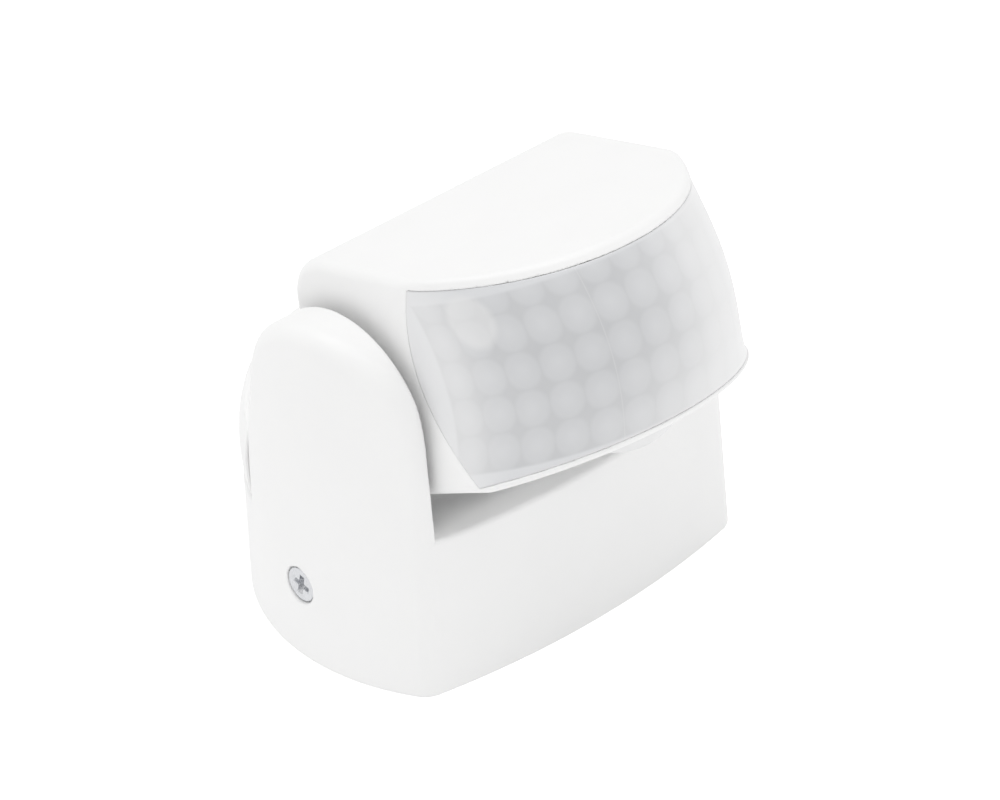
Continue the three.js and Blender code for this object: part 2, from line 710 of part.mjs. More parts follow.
// The opening for the lens, seen from the side: it ends at the curved edge of the side wall.
function windowPrism(margin) {
  const edge = Array.from({ length: WINDOW_STEPS + 1 }, (_, i) => {
    const low = LENS_BOTTOM + margin;
    const z = low + ((LENS_TOP - margin - low) * i) / WINDOW_STEPS;
    return [lensSide(z) - margin, z];
  });
  return prismX([
    [-FAR, undersideAt(-FAR) + LIP + margin],
    ...edge,
    [-FAR, topAt(-FAR) - BROW - margin],
  ], -FAR, FAR);
}

// A band that follows the underside between two depths, up to a rear edge.
function undersideSlab(from, to, rear) {
  return prismX([
    [-FAR, undersideAt(-FAR) + from],
    [rear, undersideAt(rear) + from],
    [rear, undersideAt(rear) + to],
    [-FAR, undersideAt(-FAR) + to],
  ], -FAR, FAR);
}

// A point a given depth inside the underside, below plan position x and y.
function insideUnderside(x, y, depth) {
  const length = Math.hypot(1, UNDERSIDE_SLOPE);
  const lean = UNDERSIDE_SLOPE / length;
  return [x, y + depth * lean, undersideAt(y) + depth / length];
}

const undersideBar = (x, y, from, to, radius, segments) =>
  bar(insideUnderside(x, y, from), insideUnderside(x, y, to), radius, undefined, segments);

const headScrewPlaces = mirrored((side) => HEAD_SCREW.ys.map((y) => [side * HEAD_SCREW.x, y])).flat();
const axleBar = (radius) => bar([-FAR, 0, 0], [FAR, 0, 0], radius);

// ---- Head parts ----
function headShell() {
  const boss = ([x, y]) => cut(
    undersideBar(x, y, PANEL.inside + GAP, 7.2, HEAD_SCREW.boss, 16),
    undersideBar(x, y, 0, 10, HEAD_SCREW.shank + 0.15, 12),
  );
  const bosses = headScrewPlaces.map((at) => boss(at).intersect(headBlock(0.5)));
  const floorOpening = headBlock(HEAD_WALL).intersect(undersideSlab(-5, 6, PANEL.rear));
  const shell = cut(headRoom(0), headRoom(HEAD_WALL), windowPrism(0), floorOpening);
  return mesh("head_shell", cut(join(shell, ...bosses), axleBar(TRUNNION_RADIUS + GAP)), WHITE_SHELL);
}

function fresnelLens() {
  const skin = cut(headBlock(LENS_SET_BACK), headBlock(LENS_SET_BACK + LENS_THICKNESS));
  return mesh("fresnel_lens", skin.intersect(windowPrism(GAP)), LENS_MILKY);
}

function lensFrame() {
  const outside = LENS_SET_BACK + LENS_THICKNESS + GAP;
  const band = cut(headBlock(outside), headBlock(outside + FRAME_THICKNESS));
  return mesh("lens_frame", cut(band.intersect(windowPrism(1)), windowPrism(1 + FRAME_WIDTH)), NYLON);
}

function undersidePanel() {
  const panel = headBlock(HEAD_WALL + GAP)
    .intersect(undersideSlab(PANEL.outside, PANEL.inside, PANEL.rear - GAP));
  const dialHole = (i) => undersideBar(i * DIAL_SPACING, DIAL_Y, -1, 4, DIAL_RADIUS + GAP);
  const screwHole = ([x, y]) => join(
    undersideBar(x, y, -1, 4, HEAD_SCREW.shank + GAP, 12),
    undersideBar(x, y, -1, 1.1, HEAD_SCREW.head + GAP, 16),
  );
  return mesh("underside_panel", cut(
    panel,
    ...[-1, 0, 1].map(dialHole),
    ...headScrewPlaces.map(screwHole),
    undersideBar(0, DOME_Y, -1, 4, DOME_RADIUS + GAP),
  ), WHITE_SHELL);
}

// A piece drawn about +Z with z = 0 on the underside, put in place on it.
function onUnderside(made, x, y, depth = 0) {
  return place(made, insideUnderside(x, y, depth), -Math.atan(UNDERSIDE_SLOPE));
}

function lookDownLens() {
  const edge = PANEL.outside;
  const sphere = (DOME_RADIUS ** 2 + DOME_DEPTH ** 2) / (2 * DOME_DEPTH);
  const half = Math.asin(DOME_RADIUS / sphere);
  const centre = sphere - DOME_DEPTH;
  const cap = (radius) => arc(0, centre, radius, -Math.PI / 2, half - Math.PI / 2, 5);
  const flange = DOME_RADIUS + 0.8;
  const seat = PANEL.inside + GAP;
  const profile = [
    ...cap(sphere),
    [DOME_RADIUS, edge],
    [DOME_RADIUS, seat],
    [flange, seat],
    [flange, seat + DOME_SKIN],
    [DOME_RADIUS - DOME_SKIN, seat + DOME_SKIN],
    ...cap(sphere - DOME_SKIN).reverse(),
  ];
  profile[0][0] = 0;
  profile[profile.length - 1][0] = 0;
  return onUnderside(mesh("look_down_lens", turned(profile), LENS_MILKY), 0, DOME_Y);
}

function headScrew([x, y], i) {
  const { head, shank, length } = HEAD_SCREW;
  const screw = mesh(`head_screw_${i + 1}`, panScrew(head, shank, length, 0.7), STEEL);
  return onUnderside(screw, x, y, PANEL.outside + 0.1);
}

function dial(name, row) {
  const shaft = 1.2;
  const knobTop = 1.8;
  const body = turned([
    [0, DIAL_FACE], [DIAL_RADIUS - 0.3, DIAL_FACE], [DIAL_RADIUS, DIAL_FACE + 0.3],
    [DIAL_RADIUS, knobTop], [shaft, knobTop], [shaft, 5], [0, 5],
  ]);
  const grooveTop = DIAL_FACE + 0.8;
  const halfArrow = [[0.5, -2.2], [0.5, 1], [1.3, 1]];
  const otherHalf = halfArrow.map(([x, y]) => [-x, y]).reverse();
  const pointer = prismZ([...halfArrow, [0, 2.8], ...otherHalf], -1, grooveTop);
  const made = mesh(name, cut(body, pointer), GREY_PLASTIC);
  return onUnderside(made, row * DIAL_SPACING, DIAL_Y);
}

function potentiometer(name, row) {
  const bottom = PANEL.inside + GAP;
  const body = box([-3.6, 3.6], [-3.6, 3.6], [bottom, bottom + 3.4]);
  const made = mesh(name, cut(body, bar([0, 0, 0], [0, 0, 8], 1.2 + GAP)), BLACK_PLASTIC);
  return onUnderside(made, row * DIAL_SPACING, DIAL_Y);
}

function controlBoard() {
  const bottom = PANEL.inside + 3.4 + 2 * GAP;
  const board = box([-18, 18], [-4.6, 4.6], [bottom, bottom + BOARD]);
  return onUnderside(mesh("control_board", board, CIRCUIT), 0, DIAL_Y);
}

function sensorBoard() {
  const { halfWidth, front, z } = SENSOR_BOARD;
  return mesh("sensor_board", box([-halfWidth, halfWidth], [front, front + BOARD], z), CIRCUIT);
}

const boardFront = SENSOR_BOARD.front - 0.1;

function sensorCan() {
  const at = (y) => [0, y, SENSOR_Z];
  return mesh("sensor_can", join(
    bar(at(boardFront), at(boardFront - 0.6), CAN_RADIUS + 0.5),
    bar(at(boardFront - 0.5), at(boardFront - CAN_LENGTH), CAN_RADIUS),
  ), TIN);
}

function sensorWindow() {
  const face = boardFront - CAN_LENGTH - 0.1;
  const window = box([-2, 2], [face - 0.4, face], [SENSOR_Z - 1.5, SENSOR_Z + 1.5]);
  return mesh("sensor_window", window, DARK_GLASS);
}

function indicatorLamp() {
  const at = (y) => [11, y, SENSOR_Z + 7];
  return mesh("indicator_lamp", join(
    bar(at(boardFront), at(boardFront - 0.8), 1.9, undefined, 16),
    bar(at(boardFront - 0.7), at(boardFront - 3), 1.5, undefined, 16),
    bar(at(boardFront - 2.9), at(boardFront - 4), 1.5, 0.6, 16),
  ), RED_LED);
}

function lightSensor() {
  const shape = box([-12.5, -9.5], [boardFront - 1.2, boardFront], [SENSOR_Z + 5.5, SENSOR_Z + 8.5]);
  return mesh("light_sensor", shape, DARK_GLASS);
}

function boardConnector() {
  const back = SENSOR_BOARD.front + BOARD + 0.1;
  return mesh("board_connector", box([-6, 6], [back, back + 3], [-3.6, -0.4]), NYLON);
}

function headHarness() {
  return mesh("head_harness", cable([
    [0.4 - TRUNNION_END, 0, 0],
    [-24, 0, 0],
    [-19, -1.2, -0.8],
    [-13, -4, -2],
    [-6.3, -7.4, -2],
  ], 0.8), WIRE);
}

function trunnion(side) {
  const at = (x) => [side * x, 0, 0];
  const flange = HEAD_HALF_WIDTH - HEAD_WALL - 2 * GAP;
  const body = join(
    bar(at(flange - 1.1), at(flange), TRUNNION_FLANGE),
    bar(at(flange - 0.5), at(TRUNNION_END), TRUNNION_RADIUS),
  );
  const groove = cut(
    bar(at(CLIP.from - 0.15), at(CLIP.to + 0.15), TRUNNION_RADIUS + 1),
    bar(at(CLIP.from - 1), at(CLIP.to + 1), CLIP_GROOVE),
  );
  const bore = bar(at(flange - 3), at(TRUNNION_END + 3), TRUNNION_BORE);
  return mesh(side < 0 ? "trunnion_left" : "trunnion_right", cut(body, groove, bore), NYLON);
}

function retainingClip(side) {
  const { inner, outer, from, to, mouth } = CLIP;
  const at = (x) => [side * x, 0, 0];
  const ring = cut(bar(at(from), at(to), outer), bar(at(from - 1), at(to + 1), inner));
  const gap = box([-40, 40], [-mouth, mouth], [0, 10]);
  return mesh(side < 0 ? "retaining_clip_left" : "retaining_clip_right", cut(ring, gap), STEEL);
}

// ---- Assembly ----
const SETTINGS = ["sensitivity", "time", "lux"];

function base() {
  const parts = new THREE.Group();
  parts.add(baseHousing(), rearCover(), rearCoverScrew(), mountingPlate(), wallGasket(), cableGrommet());
  parts.add(...mirrored(sideScrew), ...mirrored(boardScrew), ...mirrored(frictionRing));
  parts.add(powerBoard(), terminalBlock(), ...terminalIndex.map(terminalScrew));
  parts.add(relay(), filmCapacitor(), smoothingCapacitor(), fuse(), baseHarness());
  return parts;
}

function head() {
  const parts = new THREE.Group();
  parts.add(headShell(), fresnelLens(), lensFrame(), undersidePanel(), lookDownLens());
  parts.add(...headScrewPlaces.map(headScrew));
  SETTINGS.forEach((name, i) => {
    parts.add(dial(`${name}_dial`, i - 1), potentiometer(`${name}_potentiometer`, i - 1));
  });
  parts.add(controlBoard(), sensorBoard(), sensorCan(), sensorWindow(), indicatorLamp());
  parts.add(lightSensor(), boardConnector(), headHarness());
  parts.add(...mirrored(trunnion), ...mirrored(retainingClip));
  parts.position.set(0, PIVOT_Y, PIVOT_Z);
  parts.rotation.x = THREE.MathUtils.degToRad(-HEAD_TILT);
  return parts;
}

const group = new THREE.Group();
group.add(base(), head());

export default group;
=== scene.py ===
"""Looks for the tilting motion sensor: smooth mouldings, the milky lens and every finish.

Each moulding is the zero level of a distance field, worked out in millimetres and meshed as
quads. Pieces of the head are worked out in the head's own level frame, whose origin is on the
tilt axis, and are then tilted to the angle that the head has at rest.
"""

import json
import math

import bpy
import numpy as np
from mathutils import Matrix, Vector


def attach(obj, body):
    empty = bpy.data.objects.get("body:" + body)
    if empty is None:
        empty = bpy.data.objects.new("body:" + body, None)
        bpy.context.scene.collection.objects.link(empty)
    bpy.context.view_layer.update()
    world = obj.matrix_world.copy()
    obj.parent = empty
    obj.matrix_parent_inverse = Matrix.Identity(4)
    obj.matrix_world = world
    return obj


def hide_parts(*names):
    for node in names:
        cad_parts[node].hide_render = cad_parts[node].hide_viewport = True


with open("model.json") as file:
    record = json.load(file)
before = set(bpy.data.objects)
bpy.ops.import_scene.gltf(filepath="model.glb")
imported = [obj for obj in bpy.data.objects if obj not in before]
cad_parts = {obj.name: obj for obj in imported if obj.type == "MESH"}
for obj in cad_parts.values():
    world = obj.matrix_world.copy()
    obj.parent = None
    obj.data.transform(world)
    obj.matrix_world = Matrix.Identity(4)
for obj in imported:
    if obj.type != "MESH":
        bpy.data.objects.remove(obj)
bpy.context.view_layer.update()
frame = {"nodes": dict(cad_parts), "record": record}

MM = 0.001
SLACK = 0.03  # keeps every round skin just inside the faceted CAD solid it stands for

# ---- Base, in millimetres ----
BASE_RADIUS = 38 - SLACK
DRAFT = 0.029
FRONT_REACH = 24.2 - SLACK
FRONT_RADIUS = 149
CORNER_RADIUS = 1.2
RIM_HEIGHT = 27.15
RIM_ROUND = 0.7
DECK_ROUND = 4
WALL = 2.4
GAP = 0.3
PIVOT_Y = -2.8
PIVOT_Z = 41.4
EAR_RADIUS = 17.7
EAR_FLARE = 0.098
EAR_ROUND = 2.6
EAR_ROUND_FADE = 6  # height above the cover over which the ear's rear edge becomes round
CHEEK_X = 28.4
CHEEK_WALL = 2.2
EAR_FOOT_Y = 16.3
TROUGH_RADIUS = 17.5
REAR_WALL_HEIGHT = 19.6
RAMP_FOOT = (10.48, 30.0)
RAMP_TOP = (25.5, 34.6)
COVER_RADIUS = 37.94
COVER_FULL_Z = 26
COVER_TOP = 35
COVER_LEAN_LOW = 1.2
COVER_LEAN_HIGH = 1.9
COVER_EDGE = 1.8
FINE_EDGE = 0.4

# ---- Head, in its own frame ----
HEAD_TILT = 20
HEAD_HALF_WIDTH = 27
HEAD_DRAFT = 0.02
HEAD_BACK = 8.9
HEAD_BACK_ROUND = 9.2
HEAD_WALL = 2.2
TOP_EDGE = 1.6
BROW_EDGE = 0.75
WINDOW_EDGE = 0.3
TOP_AT_AXIS = 24.05
TOP_SLOPE = 0.098
UNDERSIDE_AT_AXIS = -14
UNDERSIDE_SLOPE = 0.11
BROW = 1.6
LIP = 1.1
LENS_TOP = 20.3
LENS_BOTTOM = -10.2
LENS_FRONT_TOP = -40.3
LENS_FRONT_BOTTOM = -40.4
LENS_BULGE = 3.7
LENS_SIDE_TOP = -20.2
LENS_SIDE_BOTTOM = -24.5
LENS_SIDE_WRAP = 5.3
LENS_THICKNESS = 1
LENS_SET_BACK = 0.1 + SLACK
LENS_GAP = 0.02
FRAME_THICKNESS = 1.4
FRAME_REACH = (1, 3.5)  # outer and inner edge of the lens frame, as margins of the window
LENSLET_WIDTH = 5.25
LENSLET_HEIGHT = 5.85
LENSLET_RISE = 1.45  # how far the middle row sits above the lens's mid height
LENSLET_DEPTH = 0.35
LENS_HALF_ZONE = 13.1
LENS_END = 36.75

# ---- Fasteners, setting dials and mounting side ----
AXLE_HOLE = 3.8
AXLE_HOLE_END = 34  # the axle holes stop short of the outside of the ears
SIDE_SCREW = {"y": 1.5, "z": 13, "head": 2.85, "shank": 1.3, "length": 7, "sink": 0.35}
SCREW_SEAT = {"clearance": 0.22, "depth": 0.6, "shank_clearance": 0.6, "inside": 30}
COVER_SCREW = {"z": 23.5, "y": 37.65, "seat": 36.3, "head": 2.3, "shank": 1.1, "length": 6}
HEAD_SCREW = {"x": 22, "ys": (-17, -4), "head": 2.2, "shank": 1.1, "length": 6, "depth": 0.3}
HEAD_SCREW_SEAT = 1.1
DIAL = {"spacing": 13, "y": -6, "radius": 3.6, "face": 0.35, "top": 1.8, "shaft": 1.2, "end": 5}
DOME = {"y": -27.6, "radius": 8.6, "depth": 4.2, "skin": 1, "flange": 9.4}
PANEL = {"outside": 0.2, "inside": 2, "rear": -0.5, "cut": 6}
PLATE = 2.4
PLATE_GAP = 0.4
LUG = {"inside": 31.6, "outside": 34.2, "half": 4, "top": 17, "fillet": 0.8}
CABLE_HOLE = {"y": 9, "radius": 6.7, "bore": 3.2}
FIXING_SPACING = 46
FIXING_SLOT = {"travel": 3.5, "radius": 2}
GASKET = {"inset": 4.4, "width": 2, "thickness": 1}

# ---- Milky lens ----
COOL = (0.967, 0.978, 1)
PAINTED_LIGHT_PATCH = (-28.2, 9.8, 4.0, 4.6)  # a painted patch of light where the inner frame shows through: middle and half size, along and up the lens
SEAM = 2 * LENSLET_WIDTH  # a fine upright moulding line, to the left of the middle
LENSLET_BLUR = 0.3  # half width of the soft edge round the lenslets

# ---- Camera, in degrees and millimetres, and studio light ----
CAMERA = {"azimuth": -40.94, "elevation": 33.43, "roll": -2.97, "lens": 173.05}
CAMERA_DISTANCE = 753.28
CAMERA_SHIFT = (2.407, 24.338)
FLOOR_GLOW = (0.11, 0.85)  # as a light, and as the camera sees it
SKY_LEVEL = (0.76, 1.0)
TOP_POWER = 3.6
RIGHT_POWER = 0.9

COARSE = 1


# ---- Distance fields: negative inside, in millimetres ----
def rounded_max(a, b, radius):
    """The part inside both a and b, with its outside edge rounded."""
    over = np.hypot(np.maximum(a + radius, 0), np.maximum(b + radius, 0))
    return np.minimum(np.maximum(a, b), -radius) + over


def rounded_min(a, b, radius):
    """a and b joined, with a fillet in the corner between them."""
    return -rounded_max(-a, -b, radius)


def everything_in(*fields):
    """The part inside every one of the fields."""
    return np.maximum.reduce(np.broadcast_arrays(*fields))


def anything_in(*fields):
    """The part inside any one of the fields."""
    return np.minimum.reduce(np.broadcast_arrays(*fields))


def base_plan(x, y, z, inset=0):
    """The plan of the base: a drafted drum whose front is cut off by a shallow bow."""
    lean = DRAFT * z
    drum = np.hypot(x, y - lean) - (BASE_RADIUS - lean - inset)
    bow = np.hypot(x, y - (FRONT_RADIUS - FRONT_REACH)) - (FRONT_RADIUS - lean - inset)
    return rounded_max(drum, bow, CORNER_RADIUS)


def ear_side(y, z, inset=0):
    """The side view of the ears: round above the tilt axis, slightly flared below it."""
    below = np.maximum(PIVOT_Z - z, 0)
    across = np.maximum(np.abs(y - PIVOT_Y) - EAR_FLARE * below, 0)
    return np.hypot(across, np.maximum(z - PIVOT_Z, 0)) - (EAR_RADIUS - inset)


def trough(y, z, margin=0):
    """The round trough under the head and the ramp that leads back out of it."""
    bowl = np.hypot(y - PIVOT_Y, z - PIVOT_Z) - TROUGH_RADIUS - margin
    slope = (RAMP_TOP[1] - RAMP_FOOT[1]) / (RAMP_TOP[0] - RAMP_FOOT[0])
    line = RAMP_FOOT[1] + slope * (y - RAMP_FOOT[0])
    ramp = np.maximum(np.minimum(line, RAMP_TOP[1]) - margin - z, PIVOT_Y - y)
    return np.minimum(bowl, ramp)


def bore_x(x, y, z, centre, radius, near, far):
    """A round hole along X through both sides, between two distances from the middle."""
    wall = np.hypot(y - centre[0], z - centre[1]) - radius
    return everything_in(wall, np.abs(x) - far, near - np.abs(x))


def side_face():
    """Where the face of a side screw lies, from the middle plane."""
    return BASE_RADIUS - DRAFT * SIDE_SCREW["z"] - SIDE_SCREW["sink"]


def housing(x, y, z):
    plan = base_plan(x, y, z)
    body = rounded_max(plan, z - RIM_HEIGHT, RIM_ROUND)
    body = rounded_max(body, -trough(y, z), np.where(y < PIVOT_Y, DECK_ROUND, 2 * FINE_EDGE))
    above_cover = np.where(y < PIVOT_Y, 1, np.clip((z - COVER_TOP) / EAR_ROUND_FADE, 0, 1))
    ears = rounded_max(plan, ear_side(y, z), FINE_EDGE + (EAR_ROUND - FINE_EDGE) * above_cover)
    ears = rounded_max(ears, CHEEK_X - np.abs(x), FINE_EDGE)
    rear_step = np.minimum(y - EAR_FOOT_Y, z - REAR_WALL_HEIGHT)
    outside = rounded_max(np.minimum(body, ears), rear_step, FINE_EDGE)
    outside = rounded_max(outside, -z, FINE_EDGE)
    ceiling = anything_in(
        ear_side(y, z, WALL),
        np.maximum(z - RIM_HEIGHT + WALL, y - EAR_FOOT_Y + WALL),
        z - REAR_WALL_HEIGHT + WALL,
    )
    deck = np.maximum(RIM_HEIGHT - CHEEK_WALL - z, y - PIVOT_Y)
    well = np.minimum(trough(y, z, CHEEK_WALL), deck)
    floor = np.maximum(well, np.abs(x) - CHEEK_X - CHEEK_WALL)
    hollow = everything_in(base_plan(x, y, z, WALL), ceiling, -floor)
    screw_at = (SIDE_SCREW["y"], SIDE_SCREW["z"])
    outside_wall = BASE_RADIUS + 1
    seat_radius = SIDE_SCREW["head"] + SCREW_SEAT["clearance"]
    seat = bore_x(x, y, z, screw_at, seat_radius, side_face() - SCREW_SEAT["depth"], outside_wall)
    shank_radius = SIDE_SCREW["shank"] + SCREW_SEAT["shank_clearance"]
    shank = bore_x(x, y, z, screw_at, shank_radius, SCREW_SEAT["inside"], outside_wall)
    axle = bore_x(x, y, z, (PIVOT_Y, PIVOT_Z), AXLE_HOLE, 0, AXLE_HOLE_END)
    shell = everything_in(outside, -hollow, -shank, -axle)
    return rounded_max(shell, -seat, FINE_EDGE / 2)


def cover_radius(z):
    """The radius of the rear cover's barrel-shaped skin."""
    rise = (z - COVER_FULL_Z) / (COVER_TOP - COVER_FULL_Z)
    return COVER_RADIUS - np.where(z < COVER_FULL_Z, COVER_LEAN_LOW, COVER_LEAN_HIGH) * rise * rise


def cover(x, y, z):
    front = EAR_FOOT_Y + GAP
    barrel = np.hypot(x, y) - cover_radius(z)
    lid = z - RAMP_TOP[1]
    outside = rounded_max(barrel, lid, COVER_EDGE)
    outside = rounded_max(outside, -trough(y, z), FINE_EDGE)
    outside = rounded_max(outside, REAR_WALL_HEIGHT + GAP - z, FINE_EDGE)
    outside = rounded_max(outside, front - y, FINE_EDGE)
    inside = everything_in(barrel + WALL, lid + WALL, -trough(y, z, CHEEK_WALL), front + WALL - y)
    hole = np.hypot(x, z - COVER_SCREW["z"])
    counterbore = everything_in(hole - COVER_SCREW["head"] - GAP, COVER_SCREW["seat"] - y)
    clearance = everything_in(hole - COVER_SCREW["shank"] - GAP, SCREW_SEAT["inside"] - y)
    return rounded_max(everything_in(outside, -inside, -clearance), -counterbore, FINE_EDGE / 2)


def mounting_plate(x, y, z):
    plate = everything_in(base_plan(x, y, 0, WALL + PLATE_GAP), z - PLATE, -z)
    across = np.abs(x)
    upright = everything_in(
        LUG["inside"] - across,
        across - LUG["outside"],
        np.abs(y - SIDE_SCREW["y"]) - LUG["half"],
        z - LUG["top"],
        1 - z,
    )
    gasket = GASKET["inset"]
    groove = everything_in(
        base_plan(x, y, 0, gasket - GAP),
        -base_plan(x, y, 0, gasket + GASKET["width"] + GAP),
        z - GASKET["thickness"] - GAP,
    )
    cable = np.hypot(x, y - CABLE_HOLE["y"]) - CABLE_HOLE["radius"]
    off_slot = np.maximum(np.abs(across - FIXING_SPACING / 2) - FIXING_SLOT["travel"], 0)
    slot = np.hypot(off_slot, y) - FIXING_SLOT["radius"]
    screw_at = (SIDE_SCREW["y"], SIDE_SCREW["z"])
    tapped = bore_x(x, y, z, screw_at, SIDE_SCREW["shank"] + 0.2, SCREW_SEAT["inside"], BASE_RADIUS)
    solid = rounded_min(plate, upright, LUG["fillet"])
    return everything_in(solid, -groove, -cable, -slot, -tapped, -z)


def wall_gasket(x, y, z):
    middle = GASKET["inset"] + GASKET["width"] / 2
    across = np.abs(base_plan(x, y, 0, middle)) - GASKET["width"] / 2
    height = np.abs(z - GASKET["thickness"] / 2) - GASKET["thickness"] / 2
    return rounded_max(across, height, 0.25)


def cable_grommet(x, y, z):
    across = np.hypot(x, y - CABLE_HOLE["y"])
    neck = CABLE_HOLE["radius"] - GAP
    stem = rounded_max(across - neck, 0.4 - z, 0.3)
    collar_reach = neck + 1.5 - np.maximum(z - PLATE - 1.3, 0) * 2.85
    collar = rounded_max(across - collar_reach, PLATE + GAP - z, 0.3)
    body = everything_in(np.minimum(np.maximum(stem, z - PLATE - 1), collar), z - PLATE - 2.6)
    return rounded_max(body, CABLE_HOLE["bore"] - across, 0.3)


# ---- Fields of the head ----
def lens_part(z):
    """How far up the lens a height is; below the lens the plan stays as at its lower edge."""
    return np.maximum(z - LENS_BOTTOM, 0) / (LENS_TOP - LENS_BOTTOM)


def hump(z):
    """One at the lens's mid height, zero at its top and bottom."""
    return np.maximum(1 - (2 * lens_part(z) - 1) ** 2, -1)


def lens_front(z):
    straight = LENS_FRONT_BOTTOM + (LENS_FRONT_TOP - LENS_FRONT_BOTTOM) * lens_part(z)
    return straight - LENS_BULGE * hump(z)


def lens_side(z):
    straight = LENS_SIDE_BOTTOM + (LENS_SIDE_TOP - LENS_SIDE_BOTTOM) * lens_part(z)
    return straight + LENS_SIDE_WRAP * hump(z)


def head_half(z):
    return HEAD_HALF_WIDTH - SLACK - HEAD_DRAFT * z


def front_arc(z):
    """Radius and centre of the head's round front at a height."""
    depth = lens_side(z) - lens_front(z)
    radius = (head_half(z) ** 2 + depth**2) / (2 * depth)
    return radius, lens_front(z) + radius


def round_front(x, y, z, inset=0):
    radius, centre = front_arc(z)
    return np.hypot(x, np.minimum(y - centre, 0)) - radius + inset


def head_plan(x, y, z, inset=0):
    sides = np.abs(x) - head_half(z) + inset
    return everything_in(round_front(x, y, z, inset), sides, y - HEAD_BACK + inset)


def top_at(y):
    return TOP_AT_AXIS + TOP_SLOPE * y


def underside_at(y):
    return UNDERSIDE_AT_AXIS - UNDERSIDE_SLOPE * y


def above_underside(y, z):
    """Height above the underside, square to it."""
    return (z - underside_at(y)) / math.hypot(1, UNDERSIDE_SLOPE)


def head_profile(y, z, inset=0):
    """The side view of the head: sloping top and underside, with a round back."""
    top = (z - top_at(y)) / math.hypot(1, TOP_SLOPE) + inset
    back = y - HEAD_BACK + inset
    corner = HEAD_BACK_ROUND - inset
    return rounded_max(rounded_max(top, back, corner), inset - above_underside(y, z), corner)


def window(y, z, margin=0):
    """The opening between brow and lip, in front of the curved edges of the side walls."""
    return everything_in(
        y - lens_side(z) + margin,
        z - top_at(y) + BROW + margin,
        underside_at(y) + LIP + margin - z,
    )


def head_shell(x, y, z):
    sides = np.abs(x) - head_half(z)
    outside = rounded_max(head_profile(y, z), sides, TOP_EDGE)
    outside = rounded_max(outside, round_front(x, y, z), BROW_EDGE)
    cavity = np.maximum(head_plan(x, y, z, HEAD_WALL), head_profile(y, z, HEAD_WALL))
    near_underside = above_underside(y, z) - PANEL["cut"]
    floor = everything_in(head_plan(x, y, z, HEAD_WALL), y - PANEL["rear"], near_underside)
    shell = everything_in(outside, -cavity, -floor, AXLE_HOLE - np.hypot(y, z))
    return rounded_max(shell, -window(y, z), WINDOW_EDGE)


def lens_frame(x, y, z):
    reach = LENS_SET_BACK + LENS_THICKNESS + GAP
    band = np.maximum(head_plan(x, y, z, reach), -head_plan(x, y, z, reach + FRAME_THICKNESS))
    ring = np.maximum(window(y, z, FRAME_REACH[0]), -window(y, z, FRAME_REACH[1]))
    return rounded_max(band, ring, 0.25)


def underside_panel(x, y, z):
    depth = above_underside(y, z)
    sheet = np.maximum(PANEL["outside"] - depth, depth - PANEL["inside"])
    rim = np.maximum(head_plan(x, y, z, HEAD_WALL + GAP), y - PANEL["rear"] + GAP)
    panel = rounded_max(sheet, rim, 0.25)
    lean = UNDERSIDE_SLOPE * depth
    dials = [
        np.hypot(x - i * DIAL["spacing"], y - DIAL["y"] - lean) - DIAL["radius"] - GAP
        for i in (-1, 0, 1)
    ]
    dome = np.hypot(x, y - DOME["y"] - lean) - DOME["radius"] - GAP
    panel = rounded_max(panel, -anything_in(*dials, dome), 0.3)
    bores = []
    for screw_y in HEAD_SCREW["ys"]:
        away = np.hypot(np.abs(x) - HEAD_SCREW["x"], y - screw_y - lean)
        bores.append(away - HEAD_SCREW["shank"] - GAP)
        bores.append(np.maximum(away - HEAD_SCREW["head"] - GAP, depth - HEAD_SCREW_SEAT))
    return np.maximum(panel, -anything_in(*bores))


def look_down_lens(x, y, z):
    """A shallow dome about +Z whose rim is on z = 0 and whose top points down."""
    sphere = (DOME["radius"] ** 2 + DOME["depth"] ** 2) / (2 * DOME["depth"])
    across = np.hypot(x, y)
    to_centre = np.hypot(across, z - sphere + DOME["depth"])
    cap = everything_in(to_centre - sphere, across - DOME["radius"])
    seat = PANEL["inside"] + GAP
    neck = np.maximum(across - DOME["radius"], -z)
    flange = rounded_max(across - DOME["flange"], np.abs(z - seat - 0.5) - 0.5, 0.2)
    solid = anything_in(np.maximum(cap, z), np.maximum(neck, z - seat - 0.5), flange)
    skin = DOME["skin"]
    room = np.maximum(to_centre - sphere + skin, across - DOME["radius"] + skin)
    shaft = np.maximum(across - DOME["radius"] + skin, -z)
    return everything_in(solid, -np.minimum(room, shaft), z - seat - 1)


def dial(x, y, z):
    """A setting dial about +Z, its face down, with an arrow-shaped slot for a screwdriver."""
    across = np.hypot(x, y)
    turn = np.arctan2(y, x)
    grip = DIAL["radius"] - 0.12 * (1 + np.cos(24 * turn))
    knob = rounded_max(across - grip, np.maximum(DIAL["face"] - z, z - DIAL["top"]), 0.35)
    shaft = everything_in(across - DIAL["shaft"], z - DIAL["end"], 1 - z)
    bar = np.maximum(np.abs(x) - 0.5, np.abs(y + 0.6) - 1.8)
    tip = np.maximum(1 - y, (np.abs(x) * 1.8 + y - 2.8) / 2.06)
    arrow = np.maximum(np.minimum(bar, tip), z - DIAL["face"] - 0.8)
    return rounded_max(np.minimum(knob, shaft), -arrow, 0.12)


def cross_recess(x, y, depth):
    """A tapering cross for a screwdriver, cut from a screw's face."""
    width = 0.5 - 0.16 * depth
    reach = 1.75 - 0.75 * depth
    one = np.maximum(np.abs(x) - width, np.abs(y) - reach)
    other = np.maximum(np.abs(y) - width, np.abs(x) - reach)
    core = np.hypot(x, y) - (0.85 - 0.3 * depth)
    return np.maximum(anything_in(one, other, core), depth - 1.3)


def threaded(x, y, z, radius, pitch=0.9):
    """A screw thread about Z."""
    turn = np.arctan2(y, x)
    wave = np.cos(2 * math.pi * z / pitch - turn)
    return np.hypot(x, y) - radius + 0.09 * (1 - wave)


